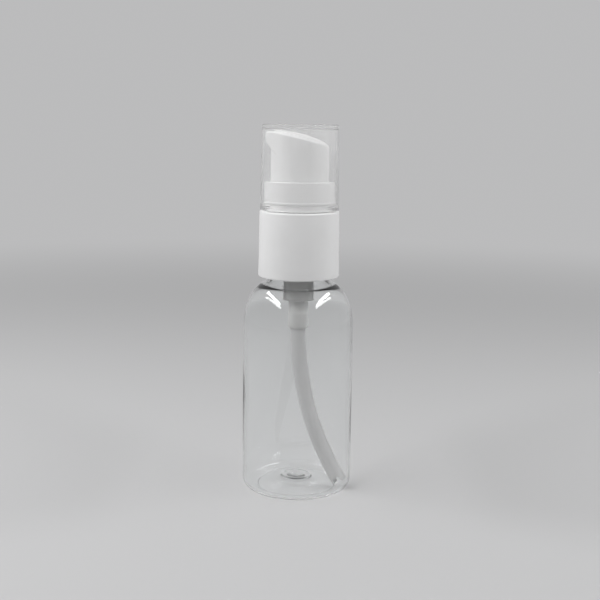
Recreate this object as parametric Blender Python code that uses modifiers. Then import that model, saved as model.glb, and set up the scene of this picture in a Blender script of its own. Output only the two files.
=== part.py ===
"""Treatment pump dispenser: a small clear bottle with a screw-on lotion pump under a clear overcap.

Metres, +Z up. The origin is the centre of the bottle's foot, on the surface it stands on.
The nozzle points along -X. Every height is stacked up from the bottle's foot, so each piece
takes its place from the piece that carries it.
"""

import math

import bmesh
import bpy
import numpy
from mathutils import Matrix, Vector

MM = 0.001

# Clearances
SEAT = 0.3 * MM                 # between faces that rest on each other
FIT = 0.2 * MM                  # radial, between a piece and the one it is pressed into
RUN = 0.3 * MM                  # radial, between a piece and the one it slides or turns in

# Bottle
BOTTLE_R = 16.9 * MM
BOTTLE_WALL = 0.6 * MM
HEEL_R = 2.6 * MM               # rounding between the side and the foot ring
FOOT_WIDTH = 2.3 * MM           # flat ring that the bottle stands on
PUSH_UP = 2.3 * MM              # height of the dome in the base
GATE_R = 2.4 * MM               # button in the middle of the dome
GATE_H = 0.5 * MM
BODY_HEIGHT = 50.5 * MM         # up to where the shoulder starts to turn in
SHOULDER_RISE = 14.2 * MM
NECK_R = 8.7 * MM
NECK_WALL = 1.4 * MM
NECK_HEIGHT = 17.0 * MM

# Screw thread between neck and closure
THREAD_PITCH = 3.175 * MM       # eight turns to the inch
THREAD_TURNS = 1.5
THREAD_DEPTH = 1.05 * MM
THREAD_OVERLAP = 0.5 * MM       # how far the two threads reach past each other
THREAD_ROOT = 1.5 * MM          # width at the wall
THREAD_CREST = 0.8 * MM
THREAD_START = 6.6 * MM         # neck thread's lowest turn, below the mouth

# Closure
CLOSURE_LIFT = 1.4 * MM         # its foot above the bottle's shoulder
CLOSURE_WALL = 1.75 * MM        # at the top
CLOSURE_DRAFT = 0.3 * MM        # wider at the foot
CLOSURE_PLATE = 1.2 * MM
CLOSURE_EDGE = 0.5 * MM

# Gasket and pump housing
GASKET_THICK = 1.0 * MM
FLANGE_THICK = 1.2 * MM
BARREL_BORE_R = 3.6 * MM
BARREL_WALL = 1.0 * MM
BARREL_LENGTH = 24.0 * MM       # below the flange
THROAT_WALL = 1.0 * MM
THROAT_LENGTH = 4.4 * MM
SOCKET_LENGTH = 4.7 * MM
SOCKET_WALL = 0.62 * MM
TOWER_STEP = 1.1 * MM           # the mouth above the flange is wider, and holds the stem guide
TOWER_WALL = 0.9 * MM
TOWER_HEIGHT = 4.6 * MM
SNAP = 0.5 * MM                 # how far the snap beads stand out
LEDGE_THICK = 1.3 * MM          # floor of the barrel, where the spring stands

# Inlet valve
BALL_R = 1.6 * MM
BALL_PLAY = 0.4 * MM            # radial, round the ball
INLET_R = 1.1 * MM
SEAT_CONE_H = 1.0 * MM
RIB_WIDTH = 0.6 * MM
RIB_HEIGHT = 0.5 * MM
RIB_REACH = 0.8 * MM            # how far the ribs over the ball stand in

# Dip tube
TUBE_R = 2.335 * MM
TUBE_WALL = 0.635 * MM
TUBE_STRAIGHT = 0.5 * MM        # below the socket, before the tube bends
TUBE_AZIMUTH = math.radians(-17.0)
TUBE_LEAN = math.radians(33.0)  # the end's lean, where it comes to rest
NOTCH_WIDTH = 2.5 * MM
NOTCH_DEPTH = 1.8 * MM
TUBE_POINTS = 22

# Stem, piston and spring
STEM_R = 2.4 * MM
STEM_BORE_R = 1.2 * MM
SPIGOT_STEP = 0.8 * MM          # how much narrower the end is that the piston rides on
SPIGOT_LENGTH = 4.0 * MM
STROKE = 5.5 * MM
PISTON_SLIP = 0.8 * MM          # how far the piston slides on the stem to open the ports
PISTON_LENGTH = 3.4 * MM
PISTON_SKIRT = 4.2 * MM
PISTON_WALL = 0.5 * MM
ROD_HEAD = 0.8 * MM
ROD_SHANK_R = 0.8 * MM
ROD_SHANK_LENGTH = 4.6 * MM
WIRE_R = 0.3 * MM
SPRING_TURNS = 7.5
GUIDE_NOSE_LENGTH = 1.6 * MM
GUIDE_FLANGE = 0.7 * MM

# Guide collar
COLLAR_HEIGHT = 8.7 * MM
COLLAR_WALL = 1.47 * MM         # at the top
COLLAR_BEAD = 0.3 * MM          # how far the bead stands out past the top's radius
COLLAR_GROOVE = 0.1 * MM        # how far the groove under the bead goes in
COLLAR_BEAD_Z = 2.4 * MM        # above the collar's underside
COLLAR_FLOOR = 1.0 * MM
SLEEVE_WALL = 0.73 * MM

# Actuator
ACTUATOR_TAPER = 0.13 * MM      # smaller at the top
ACTUATOR_WALL = 1.3 * MM
ACTUATOR_HEIGHT = 16.85 * MM    # up to the highest point of its crowned top
CROWN_R = 31.0 * MM
CROWN_OFFSET = 6.8 * MM         # the crown's highest point lies this far in front of the axis
DECK_THICK = 1.4 * MM
NOZZLE_REACH = 1.47 * MM        # past the body's foot
NOZZLE_HALF_WIDTH = 2.4 * MM
NOZZLE_FACE = 3.2 * MM          # from the highest point of the top to the foot of the tip's face
NOZZLE_SLOPE_RISE = 2.4 * MM    # how far the underside climbs from the body to the tip
NOZZLE_BORE_R = 0.9 * MM
NOZZLE_BORE_DROP = 2.0 * MM     # below the highest point of the top
CHANNEL_WALL = 0.9 * MM
STEM_SOCKET_WALL = 1.0 * MM
STEM_SOCKET_DEPTH = 5.0 * MM

# Overcap
OVERCAP_PLAY = 0.47 * MM        # radial, round the collar's bead
OVERCAP_WALL = 0.65 * MM
OVERCAP_DRAFT = 0.52 * MM       # narrower at the top
OVERCAP_PLATE = 1.4 * MM
OVERCAP_EDGE = 0.35 * MM
OVERCAP_GATE_R = 2.0 * MM
OVERCAP_GATE_H = 0.3 * MM
OVERCAP_SNAP = 0.3 * MM

# Facets round the axis: multiples of four, so that each piece reaches its full radius on X and Y
FACETS = 40
FINE_FACETS = 24

# Heights, stacked up from the foot
NECK_BASE_Z = BODY_HEIGHT + SHOULDER_RISE
MOUTH_Z = NECK_BASE_Z + NECK_HEIGHT
GASKET_Z = MOUTH_Z + SEAT
FLANGE_Z = GASKET_Z + GASKET_THICK + SEAT
FLANGE_TOP_Z = FLANGE_Z + FLANGE_THICK
PLATE_Z = FLANGE_TOP_Z + SEAT
CLOSURE_TOP_Z = PLATE_Z + CLOSURE_PLATE
CLOSURE_Z = NECK_BASE_Z + CLOSURE_LIFT
COLLAR_Z = CLOSURE_TOP_Z + SEAT
COLLAR_TOP_Z = COLLAR_Z + COLLAR_HEIGHT
COLLAR_FLOOR_Z = COLLAR_Z + COLLAR_FLOOR
TOWER_TOP_Z = FLANGE_TOP_Z + TOWER_HEIGHT
BARREL_Z = FLANGE_Z - BARREL_LENGTH
THROAT_Z = BARREL_Z - THROAT_LENGTH
SOCKET_Z = THROAT_Z - SOCKET_LENGTH
LEDGE_Z = BARREL_Z + LEDGE_THICK
TUBE_TOP_Z = THROAT_Z - SEAT
INLET_SEAT_Z = THROAT_Z + SEAT + 0.8 * MM

ACTUATOR_Z = COLLAR_FLOOR_Z + SEAT + STROKE
CROWN_Z = ACTUATOR_Z + ACTUATOR_HEIGHT
OVERCAP_Z = CLOSURE_TOP_Z + SEAT
OVERCAP_CEILING_Z = CROWN_Z + SEAT
OVERCAP_TOP_Z = OVERCAP_CEILING_Z + OVERCAP_PLATE

GUIDE_NOSE_Z = FLANGE_Z - SEAT
GUIDE_SEAT_Z = GUIDE_NOSE_Z + GUIDE_NOSE_LENGTH
GUIDE_FLANGE_Z = TOWER_TOP_Z + SEAT
GUIDE_TOP_Z = GUIDE_FLANGE_Z + GUIDE_FLANGE
PISTON_TOP_Z = GUIDE_NOSE_Z - SEAT - PISTON_SLIP
PISTON_Z = PISTON_TOP_Z - PISTON_SKIRT
STEM_SHOULDER_Z = PISTON_Z + PISTON_LENGTH + PISTON_SLIP + SEAT
STEM_TOP_Z = GUIDE_TOP_Z + SEAT + STROKE + STEM_SOCKET_DEPTH
ROD_HEAD_TOP_Z = PISTON_Z - SEAT
ROD_Z = ROD_HEAD_TOP_Z - ROD_HEAD

# Radii that follow from a neighbour
NECK_BORE_R = NECK_R - NECK_WALL
THREAD_CREST_R = NECK_R + THREAD_DEPTH
CLOSURE_BORE_R = THREAD_CREST_R + RUN + FIT
CLOSURE_THREAD_R = THREAD_CREST_R - THREAD_OVERLAP
CLOSURE_TOP_R = CLOSURE_BORE_R + CLOSURE_WALL
CLOSURE_FOOT_R = CLOSURE_TOP_R + CLOSURE_DRAFT
FLANGE_R = CLOSURE_THREAD_R - RUN
GASKET_R = FLANGE_R
HOUSING_R = BARREL_BORE_R + BARREL_WALL
GASKET_HOLE_R = HOUSING_R + RUN
TOWER_BORE_R = BARREL_BORE_R + TOWER_STEP
TOWER_R = TOWER_BORE_R + TOWER_WALL
PLATE_HOLE_R = TOWER_R + SNAP + RUN
SLEEVE_BORE_R = PLATE_HOLE_R
SLEEVE_R = SLEEVE_BORE_R + SLEEVE_WALL
ACTUATOR_R = SLEEVE_R + RUN + ACTUATOR_WALL
COLLAR_BORE_R = ACTUATOR_R + RUN
COLLAR_TOP_R = COLLAR_BORE_R + COLLAR_WALL
COLLAR_BEAD_R = COLLAR_TOP_R + COLLAR_BEAD
COLLAR_GROOVE_R = COLLAR_TOP_R - COLLAR_GROOVE
OVERCAP_FOOT_R = COLLAR_BEAD_R + OVERCAP_PLAY + OVERCAP_WALL
OVERCAP_TOP_R = OVERCAP_FOOT_R - OVERCAP_DRAFT
NOZZLE_TIP_X = ACTUATOR_R + NOZZLE_REACH
STEM_SOCKET_BORE_R = STEM_R + FIT
STEM_SOCKET_R = STEM_SOCKET_BORE_R + STEM_SOCKET_WALL
SPIGOT_R = STEM_R - SPIGOT_STEP
PISTON_R = BARREL_BORE_R - FIT
SPRING_R = BARREL_BORE_R - RUN - 2 * WIRE_R
ROD_HEAD_R = SPRING_R + WIRE_R + FIT
BALL_CHAMBER_R = BALL_R + BALL_PLAY
THROAT_R = BALL_CHAMBER_R + THROAT_WALL
TUBE_BORE_R = TUBE_R - TUBE_WALL
TUBE_SOCKET_R = TUBE_R + FIT
SOCKET_R = TUBE_SOCKET_R + SOCKET_WALL


# ---------------------------------------------------------------- scene and shared tools

def empty_scene():
    for obj in list(bpy.data.objects):
        bpy.data.objects.remove(obj, do_unlink=True)
    for collection in list(bpy.data.collections):
        bpy.data.collections.remove(collection)


def new_collection(name):
    collection = bpy.data.collections.new(name)
    bpy.context.scene.collection.children.link(collection)
    return collection


def plastic(name, colour, roughness, alpha=1.0, metallic=0.0):
    """A Principled material of one colour."""
    material = bpy.data.materials.new(name)
    material.use_nodes = True
    shader = material.node_tree.nodes["Principled BSDF"]
    shader.inputs["Base Color"].default_value = (*colour, 1.0)
    shader.inputs["Roughness"].default_value = roughness
    shader.inputs["Metallic"].default_value = metallic
    shader.inputs["Alpha"].default_value = alpha
    material.diffuse_color = (*colour, alpha)
    return material


def arc(centre, radii, start, end, steps):
    """Points along an arc or a quarter ellipse in the profile plane, angles in degrees."""
    points = []
    for step in range(steps + 1):
        angle = math.radians(start + (end - start) * step / steps)
        points.append((centre[0] + radii[0] * math.cos(angle), centre[1] + radii[1] * math.sin(angle)))
    return points


def rounded(corners, steps=3):
    """An outline from corners (r, z) or (r, z, fillet): each named fillet becomes an arc."""
    points = []
    for index, corner in enumerate(corners):
        here = Vector(corner[:2])
        fillet = corner[2] if len(corner) > 2 else 0.0
        if not fillet:
            points.append(tuple(here))
            continue
        to_last = (Vector(corners[index - 1][:2]) - here).normalized()
        to_next = (Vector(corners[(index + 1) % len(corners)][:2]) - here).normalized()
        half = to_last.angle(to_next) / 2
        reach = fillet / math.tan(half)
        centre = here + (to_last + to_next).normalized() * fillet / math.sin(half)
        start = here + to_last * reach - centre
        sweep = start.angle_signed(here + to_next * reach - centre)
        for step in range(steps + 1):
            turned_by = Matrix.Rotation(-sweep * step / steps, 2)
            points.append(tuple(centre + turned_by @ start))
    return points


def link(name, mesh, collection):
    obj = bpy.data.objects.new(name, mesh)
    collection.objects.link(obj)
    return obj


def settle(obj):
    """Makes an object's evaluated shape its own mesh."""
    graph = bpy.context.evaluated_depsgraph_get()
    mesh = bpy.data.meshes.new_from_object(obj.evaluated_get(graph))
    obj.modifiers.clear()
    obj.data = mesh
    return obj


def shade(obj, material, sharp_angle=35.0):
    obj.data.materials.clear()
    obj.data.materials.append(material)
    obj.data.shade_smooth()
    obj.data.set_sharp_from_angle(angle=math.radians(sharp_angle))
    return obj


def turned(name, outline, collection, facets=FACETS, closed=True):
    """Runs an outline round the Z axis. It goes down its outer side, and back up inside."""
    count = len(outline)
    edges = [(i, i + 1) for i in range(count - 1)]
    if closed:
        edges.append((count - 1, 0))
    mesh = bpy.data.meshes.new(name)
    mesh.from_pydata([(r, 0.0, z) for r, z in outline], edges, [])
    obj = link(name, mesh, collection)
    screw = obj.modifiers.new("turn", "SCREW")
    screw.axis = "Z"
    screw.steps = facets
    screw.render_steps = facets
    screw.use_merge_vertices = True
    screw.merge_threshold = 0.00001
    return settle(obj)


def boolean(obj, other, operation):
    cut = obj.modifiers.new(other.name, "BOOLEAN")
    cut.operation = operation
    cut.object = other
    cut.solver = "EXACT"
    return cut


def combine(obj, others, operation):
    """Joins or cuts with each of the others, in turn, and hides them as guides."""
    for other in others:
        boolean(obj, other, operation)
        other.hide_render = True
        other.display_type = "WIRE"
    return settle(obj)


def rod(name, radius, start, end, collection, facets=16):
    """A plain cylinder between two points."""
    start, end = Vector(start), Vector(end)
    mesh = bpy.data.meshes.new(name)
    shape = bmesh.new()
    bmesh.ops.create_cone(
        shape, cap_ends=True, segments=facets, radius1=radius, radius2=radius, depth=(end - start).length
    )
    turn = Vector((0, 0, 1)).rotation_difference(end - start).to_matrix().to_4x4()
    bmesh.ops.transform(shape, matrix=Matrix.Translation((start + end) / 2) @ turn, verts=shape.verts)
    shape.to_mesh(mesh)
    shape.free()
    return link(name, mesh, collection)


def block(name, size, matrix, collection):
    mesh = bpy.data.meshes.new(name)
    shape = bmesh.new()
    bmesh.ops.create_cube(shape, size=1.0)
    bmesh.ops.scale(shape, vec=size, verts=shape.verts)
    bmesh.ops.transform(shape, matrix=matrix, verts=shape.verts)
    shape.to_mesh(mesh)
    shape.free()
    return link(name, mesh, collection)


def thread(name, root_r, crest_r, start_z, start_angle, collection):
    """A screw thread: its cross-section carried round and up the axis, with both ends capped."""
    outline = [
        (root_r, -THREAD_ROOT / 2),
        (root_r, THREAD_ROOT / 2),
        (crest_r, THREAD_CREST / 2),
        (crest_r, -THREAD_CREST / 2),
    ]
    mesh = bpy.data.meshes.new(name)
    mesh.from_pydata([(r, 0.0, z) for r, z in outline], [(0, 1), (1, 2), (2, 3), (3, 0)], [])
    obj = link(name, mesh, collection)
    steps = round(THREAD_TURNS * FACETS)
    screw = obj.modifiers.new("thread", "SCREW")
    screw.axis = "Z"
    screw.angle = 2 * math.pi * THREAD_TURNS
    screw.screw_offset = THREAD_PITCH * THREAD_TURNS
    screw.steps = steps
    screw.render_steps = steps
    settle(obj)
    shape = bmesh.new()
    shape.from_mesh(obj.data)
    bmesh.ops.holes_fill(shape, edges=[edge for edge in shape.edges if edge.is_boundary])
    bmesh.ops.recalc_face_normals(shape, faces=shape.faces)
    place = Matrix.Translation((0, 0, start_z)) @ Matrix.Rotation(start_angle, 4, "Z")
    bmesh.ops.transform(shape, matrix=place, verts=shape.verts)
    shape.to_mesh(obj.data)
    shape.free()
    return obj


def tube_along(name, route, radius, resolution, collection):
    """A curve along the route with a round section, made a mesh."""
    curve = bpy.data.curves.new(name, "CURVE")
    curve.dimensions = "3D"
    curve.bevel_depth = radius
    curve.bevel_resolution = resolution
    curve.use_fill_caps = True
    spline = curve.splines.new("POLY")
    spline.points.add(len(route) - 1)
    for point, place in zip(spline.points, route):
        point.co = (*place, 1.0)
    drawn = link(name + "_route", curve, collection)
    graph = bpy.context.evaluated_depsgraph_get()
    mesh = bpy.data.meshes.new_from_object(drawn.evaluated_get(graph))
    obj = link(name, mesh, collection)
    obj.matrix_world = drawn.matrix_world
    bpy.data.objects.remove(drawn, do_unlink=True)
    shape = bmesh.new()
    shape.from_mesh(mesh)
    bmesh.ops.remove_doubles(shape, verts=shape.verts, dist=0.000001)
    bmesh.ops.recalc_face_normals(shape, faces=shape.faces)
    shape.to_mesh(mesh)
    shape.free()
    return obj


def pivot_at(obj, place):
    """Moves an object's origin onto its joint without moving its shape."""
    place = Vector(place)
    obj.data.transform(Matrix.Translation(-place))
    obj.location = place
    return obj


# ---------------------------------------------------------------- bottle

def base_inside():
    """The base's inner surface, from its middle out to the heel."""
    ring_in = BOTTLE_R - HEEL_R - FOOT_WIDTH
    return [
        (0.0, PUSH_UP + 1.0 * MM),
        (GATE_R, PUSH_UP + 0.8 * MM),
        (ring_in / 2, PUSH_UP + 0.7 * MM),
        (ring_in - 2.4 * MM, 0.7 * PUSH_UP + 0.6 * MM),
        (ring_in - 0.4 * MM, BOTTLE_WALL + 0.4 * MM),
        (ring_in + 0.5 * MM, BOTTLE_WALL),
    ]


def bottle_outline():
    """The bottle's wall: up its inside from the middle of the base, over the mouth and down to the foot."""
    shoulder_r = BOTTLE_R - NECK_R + FIT
    inner_heel = HEEL_R - BOTTLE_WALL
    ring_out = BOTTLE_R - HEEL_R
    ring_in = ring_out - FOOT_WIDTH
    outside = [(NECK_R - 0.3 * MM, MOUTH_Z), (NECK_R, MOUTH_Z - 0.3 * MM), (NECK_R, NECK_BASE_Z + 0.6 * MM)]
    outside += arc((BOTTLE_R - shoulder_r, BODY_HEIGHT), (shoulder_r, SHOULDER_RISE), 82, 0, 8)
    outside += arc((ring_out, HEEL_R), (HEEL_R, HEEL_R), 0, -90, 4)
    outside += [
        (ring_in, 0.0),
        (ring_in - 0.7 * MM, 0.5 * MM),
        (ring_in - 2.6 * MM, 0.7 * PUSH_UP),
        (ring_in / 2, PUSH_UP),
        (GATE_R, PUSH_UP),
        (GATE_R - 0.4 * MM, PUSH_UP - GATE_H),
        (0.0, PUSH_UP - GATE_H),
    ]
    inside = base_inside()
    inside += arc((ring_out, HEEL_R), (inner_heel, inner_heel), -90, 0, 4)
    inner_shoulder = (shoulder_r - BOTTLE_WALL, SHOULDER_RISE - BOTTLE_WALL)
    inside += arc((BOTTLE_R - shoulder_r, BODY_HEIGHT), inner_shoulder, 0, 84, 8)
    inside += [(NECK_BORE_R, NECK_BASE_Z + 0.8 * MM), (NECK_BORE_R, MOUTH_Z)]
    return inside + outside


def make_bottle(parts, cutters, material):
    bottle = turned("bottle", bottle_outline(), parts, closed=False)
    ridge = thread(
        "bottle_thread", NECK_R - FIT, THREAD_CREST_R, MOUTH_Z - THREAD_START, 0.0, cutters
    )
    return shade(combine(bottle, [ridge], "UNION"), material)


# ---------------------------------------------------------------- closure and collar

def make_closure(parts, cutters, material):
    lead = 0.5 * MM
    outline = rounded([
        (PLATE_HOLE_R, CLOSURE_TOP_Z),
        (CLOSURE_TOP_R, CLOSURE_TOP_Z, CLOSURE_EDGE),
        (CLOSURE_FOOT_R, CLOSURE_Z, CLOSURE_EDGE),
        (CLOSURE_BORE_R + lead, CLOSURE_Z),
        (CLOSURE_BORE_R, CLOSURE_Z + lead),
        (CLOSURE_BORE_R, PLATE_Z),
        (PLATE_HOLE_R, PLATE_Z),
    ])
    closure = turned("closure", outline, parts)
    below_the_neck_thread = (THREAD_ROOT + THREAD_CREST) / 2 + SEAT
    ridge = thread(
        "closure_thread",
        CLOSURE_BORE_R + FIT,
        CLOSURE_THREAD_R,
        MOUTH_Z - THREAD_START - below_the_neck_thread,
        0.0,
        cutters,
    )
    return shade(combine(closure, [ridge], "UNION"), material)


def make_guide_collar(parts, material):
    """The ring that the actuator runs in. Its inner sleeve snaps over the housing's mouth."""
    bead_z = COLLAR_Z + COLLAR_BEAD_Z
    groove_z = COLLAR_Z + 0.5 * MM
    catch_z = TOWER_TOP_Z - 2 * SNAP - SEAT
    sleeve_top_z = TOWER_TOP_Z + 0.3 * MM
    outline = rounded([
        (COLLAR_TOP_R, COLLAR_TOP_Z, 0.3 * MM),
        (COLLAR_BEAD_R - 0.1 * MM, bead_z + 0.5 * MM),
        (COLLAR_BEAD_R, bead_z),
        (COLLAR_GROOVE_R, bead_z - 0.6 * MM),
        (COLLAR_GROOVE_R, groove_z),
        (COLLAR_BEAD_R, COLLAR_Z),
        (SLEEVE_BORE_R, COLLAR_Z),
        (SLEEVE_BORE_R, catch_z - 1.2 * SNAP),
        (TOWER_R + FIT, catch_z - 0.4 * SNAP),
        (TOWER_R + FIT, catch_z),
        (SLEEVE_BORE_R, catch_z),
        (SLEEVE_BORE_R, sleeve_top_z),
        (SLEEVE_R, sleeve_top_z),
        (SLEEVE_R, COLLAR_FLOOR_Z),
        (COLLAR_BORE_R, COLLAR_FLOOR_Z),
        (COLLAR_BORE_R, COLLAR_TOP_Z, 0.2 * MM),
    ], 2)
    return shade(turned("guide_collar", outline, parts), material)


# ---------------------------------------------------------------- housing and its inside

def housing_outline():
    lip = 0.15 * MM
    return [
        (TOWER_BORE_R, TOWER_TOP_Z),
        (TOWER_R, TOWER_TOP_Z),
        (TOWER_R + SNAP, TOWER_TOP_Z - 0.6 * SNAP),
        (TOWER_R + SNAP, TOWER_TOP_Z - 1.2 * SNAP),
        (TOWER_R, TOWER_TOP_Z - 2 * SNAP),
        (TOWER_R, FLANGE_TOP_Z),
        (FLANGE_R, FLANGE_TOP_Z),
        (FLANGE_R, FLANGE_Z),
        (HOUSING_R, FLANGE_Z),
        (HOUSING_R, BARREL_Z + 4 * lip),
        (HOUSING_R + lip, BARREL_Z + 3 * lip),
        (HOUSING_R + lip, BARREL_Z),
        (THROAT_R, BARREL_Z),
        (THROAT_R, THROAT_Z),
        (SOCKET_R, THROAT_Z),
        (SOCKET_R, SOCKET_Z),
        (TUBE_SOCKET_R, SOCKET_Z),
        (TUBE_SOCKET_R, THROAT_Z),
        (INLET_R, THROAT_Z),
        (INLET_R, INLET_SEAT_Z),
        (BALL_CHAMBER_R, INLET_SEAT_Z + SEAT_CONE_H),
        (BALL_CHAMBER_R, LEDGE_Z),
        (BARREL_BORE_R, LEDGE_Z),
        (BARREL_BORE_R, GUIDE_SEAT_Z - SEAT),
        (TOWER_BORE_R, GUIDE_SEAT_Z - SEAT),
    ]


def make_housing(parts, cutters, material):
    """The pump's barrel. Two crossed ribs over the inlet keep the ball under the spring."""
    housing = turned("housing", housing_outline(), parts, FINE_FACETS)
    rib_length = RIB_REACH + FIT
    rib_middle_r = BALL_CHAMBER_R - RIB_REACH + rib_length / 2
    ribs = []
    for quarter in range(4):
        turn = Matrix.Rotation(quarter * math.pi / 2, 4, "Z")
        place = Matrix.Translation((rib_middle_r, 0, LEDGE_Z - RIB_HEIGHT / 2 - 0.1 * MM))
        ribs.append(block(f"ball_rib_{quarter}", (rib_length, RIB_WIDTH, RIB_HEIGHT), turn @ place, cutters))
    return shade(combine(housing, ribs, "UNION"), material)


def make_neck_gasket(parts, material):
    outline = [
        (GASKET_HOLE_R, GASKET_Z + GASKET_THICK),
        (GASKET_R, GASKET_Z + GASKET_THICK),
        (GASKET_R, GASKET_Z),
        (GASKET_HOLE_R, GASKET_Z),
    ]
    return shade(turned("neck_gasket", outline, parts, FINE_FACETS), material)


def make_stem_guide(parts, material):
    """Closes the housing's mouth, guides the stem, and stops the piston at the top of its stroke."""
    bore_r = STEM_R + RUN
    body_r = TOWER_BORE_R - FIT
    nose_r = BARREL_BORE_R - FIT
    outline = [
        (bore_r, GUIDE_TOP_Z),
        (TOWER_R - 0.3 * MM, GUIDE_TOP_Z),
        (TOWER_R, GUIDE_FLANGE_Z + 0.3 * MM),
        (TOWER_R, GUIDE_FLANGE_Z),
        (body_r, GUIDE_FLANGE_Z),
        (body_r, GUIDE_SEAT_Z),
        (nose_r, GUIDE_SEAT_Z),
        (nose_r, GUIDE_NOSE_Z),
        (bore_r, GUIDE_NOSE_Z),
    ]
    return shade(turned("stem_guide", outline, parts, FINE_FACETS), material)


def tube_foot():
    """The end's middle: against the bottle's side, with its low edge a seat's gap over the base."""
    foot_r = BOTTLE_R - BOTTLE_WALL - TUBE_R
    low_r = foot_r - TUBE_R * math.cos(TUBE_LEAN)
    radii, heights = zip(*base_inside())
    return foot_r, float(numpy.interp(low_r, radii, heights)) + SEAT + TUBE_R * math.sin(TUBE_LEAN)


def tube_route():
    """Straight down out of the socket, then one even bend to the foot of the bottle wall."""
    foot_r, foot_z = tube_foot()
    bend_z = SOCKET_Z - TUBE_STRAIGHT
    drop = bend_z - foot_z
    bend_r = (foot_r ** 2 + drop ** 2) / (2 * foot_r)
    sweep = math.asin(drop / bend_r)
    route = [(0.0, TUBE_TOP_Z), (0.0, (TUBE_TOP_Z + bend_z) / 2)]
    for step in range(TUBE_POINTS + 1):
        angle = sweep * step / TUBE_POINTS
        route.append((bend_r * (1 - math.cos(angle)), bend_z - bend_r * math.sin(angle)))
    out = Vector((math.cos(TUBE_AZIMUTH), math.sin(TUBE_AZIMUTH), 0.0))
    return [out * r + Vector((0, 0, z)) for r, z in route]


def make_dip_tube(parts, cutters, material):
    """A plain tube, hollow from end to end, with a fishtail cut in its foot."""
    points = tube_route()
    tube = tube_along("dip_tube", points, TUBE_R, 4, parts)
    overrun = 1.0 * MM
    heading = (points[-1] - points[-2]).normalized()
    inside = [points[0] + Vector((0, 0, overrun))] + points[1:-1] + [points[-1] + heading * overrun]
    bore = tube_along("dip_tube_bore", inside, TUBE_BORE_R, 4, cutters)
    across = Vector((-math.sin(TUBE_AZIMUTH), math.cos(TUBE_AZIMUTH), 0.0)) * 2 * TUBE_R
    notch_r = NOTCH_WIDTH / 2
    middle = points[-1] - heading * (NOTCH_DEPTH - notch_r)
    notch = rod("dip_tube_notch", notch_r, middle - across, middle + across, cutters)
    return shade(combine(tube, [bore, notch], "DIFFERENCE"), material)


def ball_height():
    """The ball rests on the cone, a seat's gap off it."""
    flare = BALL_CHAMBER_R - INLET_R
    slant = math.hypot(flare, SEAT_CONE_H)
    return INLET_SEAT_Z + ((BALL_R + SEAT / 2) * slant - INLET_R * SEAT_CONE_H) / flare


def make_inlet_ball(parts, material):
    mesh = bpy.data.meshes.new("inlet_ball")
    shape = bmesh.new()
    bmesh.ops.create_uvsphere(shape, u_segments=16, v_segments=10, radius=BALL_R)
    shape.to_mesh(mesh)
    shape.free()
    ball = link("inlet_ball", mesh, parts)
    ball.location = (0, 0, ball_height())
    return shade(ball, material, 60.0)


def make_return_spring(parts, material):
    """A coil of round wire whose end turns close up onto their seats."""
    low = LEDGE_Z + SEAT + WIRE_R
    high = ROD_Z - SEAT - WIRE_R
    per_turn = 12
    count = round(SPRING_TURNS * per_turn)
    closed_turn = 2.2 * WIRE_R
    route = []
    for step in range(count + 1):
        turn = step / per_turn
        last = SPRING_TURNS - turn
        if turn < 1:
            z = low + closed_turn * turn
        elif last < 1:
            z = high - closed_turn * last
        else:
            share = (turn - 1) / (SPRING_TURNS - 2)
            z = low + closed_turn + (high - low - 2 * closed_turn) * share
        angle = 2 * math.pi * turn
        route.append(Vector((SPRING_R * math.cos(angle), SPRING_R * math.sin(angle), z)))
    return shade(tube_along("return_spring", route, WIRE_R, 2, parts), material, 60.0)


def make_piston(parts, material):
    """Wipes the barrel with its outer lips and slides a little on the stem's spigot."""
    hub_in = SPIGOT_R + FIT
    hub_out = hub_in + PISTON_WALL
    skirt_in = PISTON_R - PISTON_WALL
    web_low = PISTON_Z + 1.2 * MM
    web_high = web_low + 0.9 * MM
    waist = 0.2 * MM
    outline = [
        (hub_in, PISTON_Z + PISTON_LENGTH),
        (hub_out, PISTON_Z + PISTON_LENGTH),
        (hub_out, web_high),
        (skirt_in - waist, web_high),
        (skirt_in + 0.1 * MM, PISTON_TOP_Z),
        (PISTON_R, PISTON_TOP_Z),
        (PISTON_R - waist, PISTON_TOP_Z - 1.2 * MM),
        (PISTON_R - waist, PISTON_Z + 1.2 * MM),
        (PISTON_R, PISTON_Z),
        (skirt_in + 0.1 * MM, PISTON_Z),
        (skirt_in - waist, web_low),
        (hub_out, web_low),
        (hub_out, PISTON_Z),
        (hub_in, PISTON_Z),
    ]
    return shade(turned("piston", outline, parts, FINE_FACETS), material)


def make_piston_rod(parts, material):
    """Plugs into the stem from below and carries the piston on its head."""
    shank_top_z = ROD_HEAD_TOP_Z + ROD_SHANK_LENGTH
    outline = [
        (0.0, shank_top_z),
        (ROD_SHANK_R - 0.2 * MM, shank_top_z),
        (ROD_SHANK_R, shank_top_z - 0.4 * MM),
        (ROD_SHANK_R, ROD_HEAD_TOP_Z),
        (ROD_HEAD_R, ROD_HEAD_TOP_Z),
        (ROD_HEAD_R, ROD_Z),
        (0.0, ROD_Z),
    ]
    return shade(turned("piston_rod", outline, parts, FINE_FACETS, closed=False), material)


def make_main_stem(parts, material):
    spigot_z = STEM_SHOULDER_Z - SPIGOT_LENGTH
    rod_bore_r = ROD_SHANK_R + FIT
    outline = [
        (STEM_BORE_R, STEM_TOP_Z),
        (STEM_R - 0.2 * MM, STEM_TOP_Z),
        (STEM_R, STEM_TOP_Z - 0.3 * MM),
        (STEM_R, STEM_SHOULDER_Z),
        (SPIGOT_R, STEM_SHOULDER_Z),
        (SPIGOT_R, spigot_z),
        (rod_bore_r, spigot_z),
        (rod_bore_r, STEM_SHOULDER_Z + 0.5 * MM),
        (STEM_BORE_R, STEM_SHOULDER_Z + 1.0 * MM),
    ]
    return shade(turned("main_stem", outline, parts, FINE_FACETS), material)


# ---------------------------------------------------------------- actuator

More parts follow.
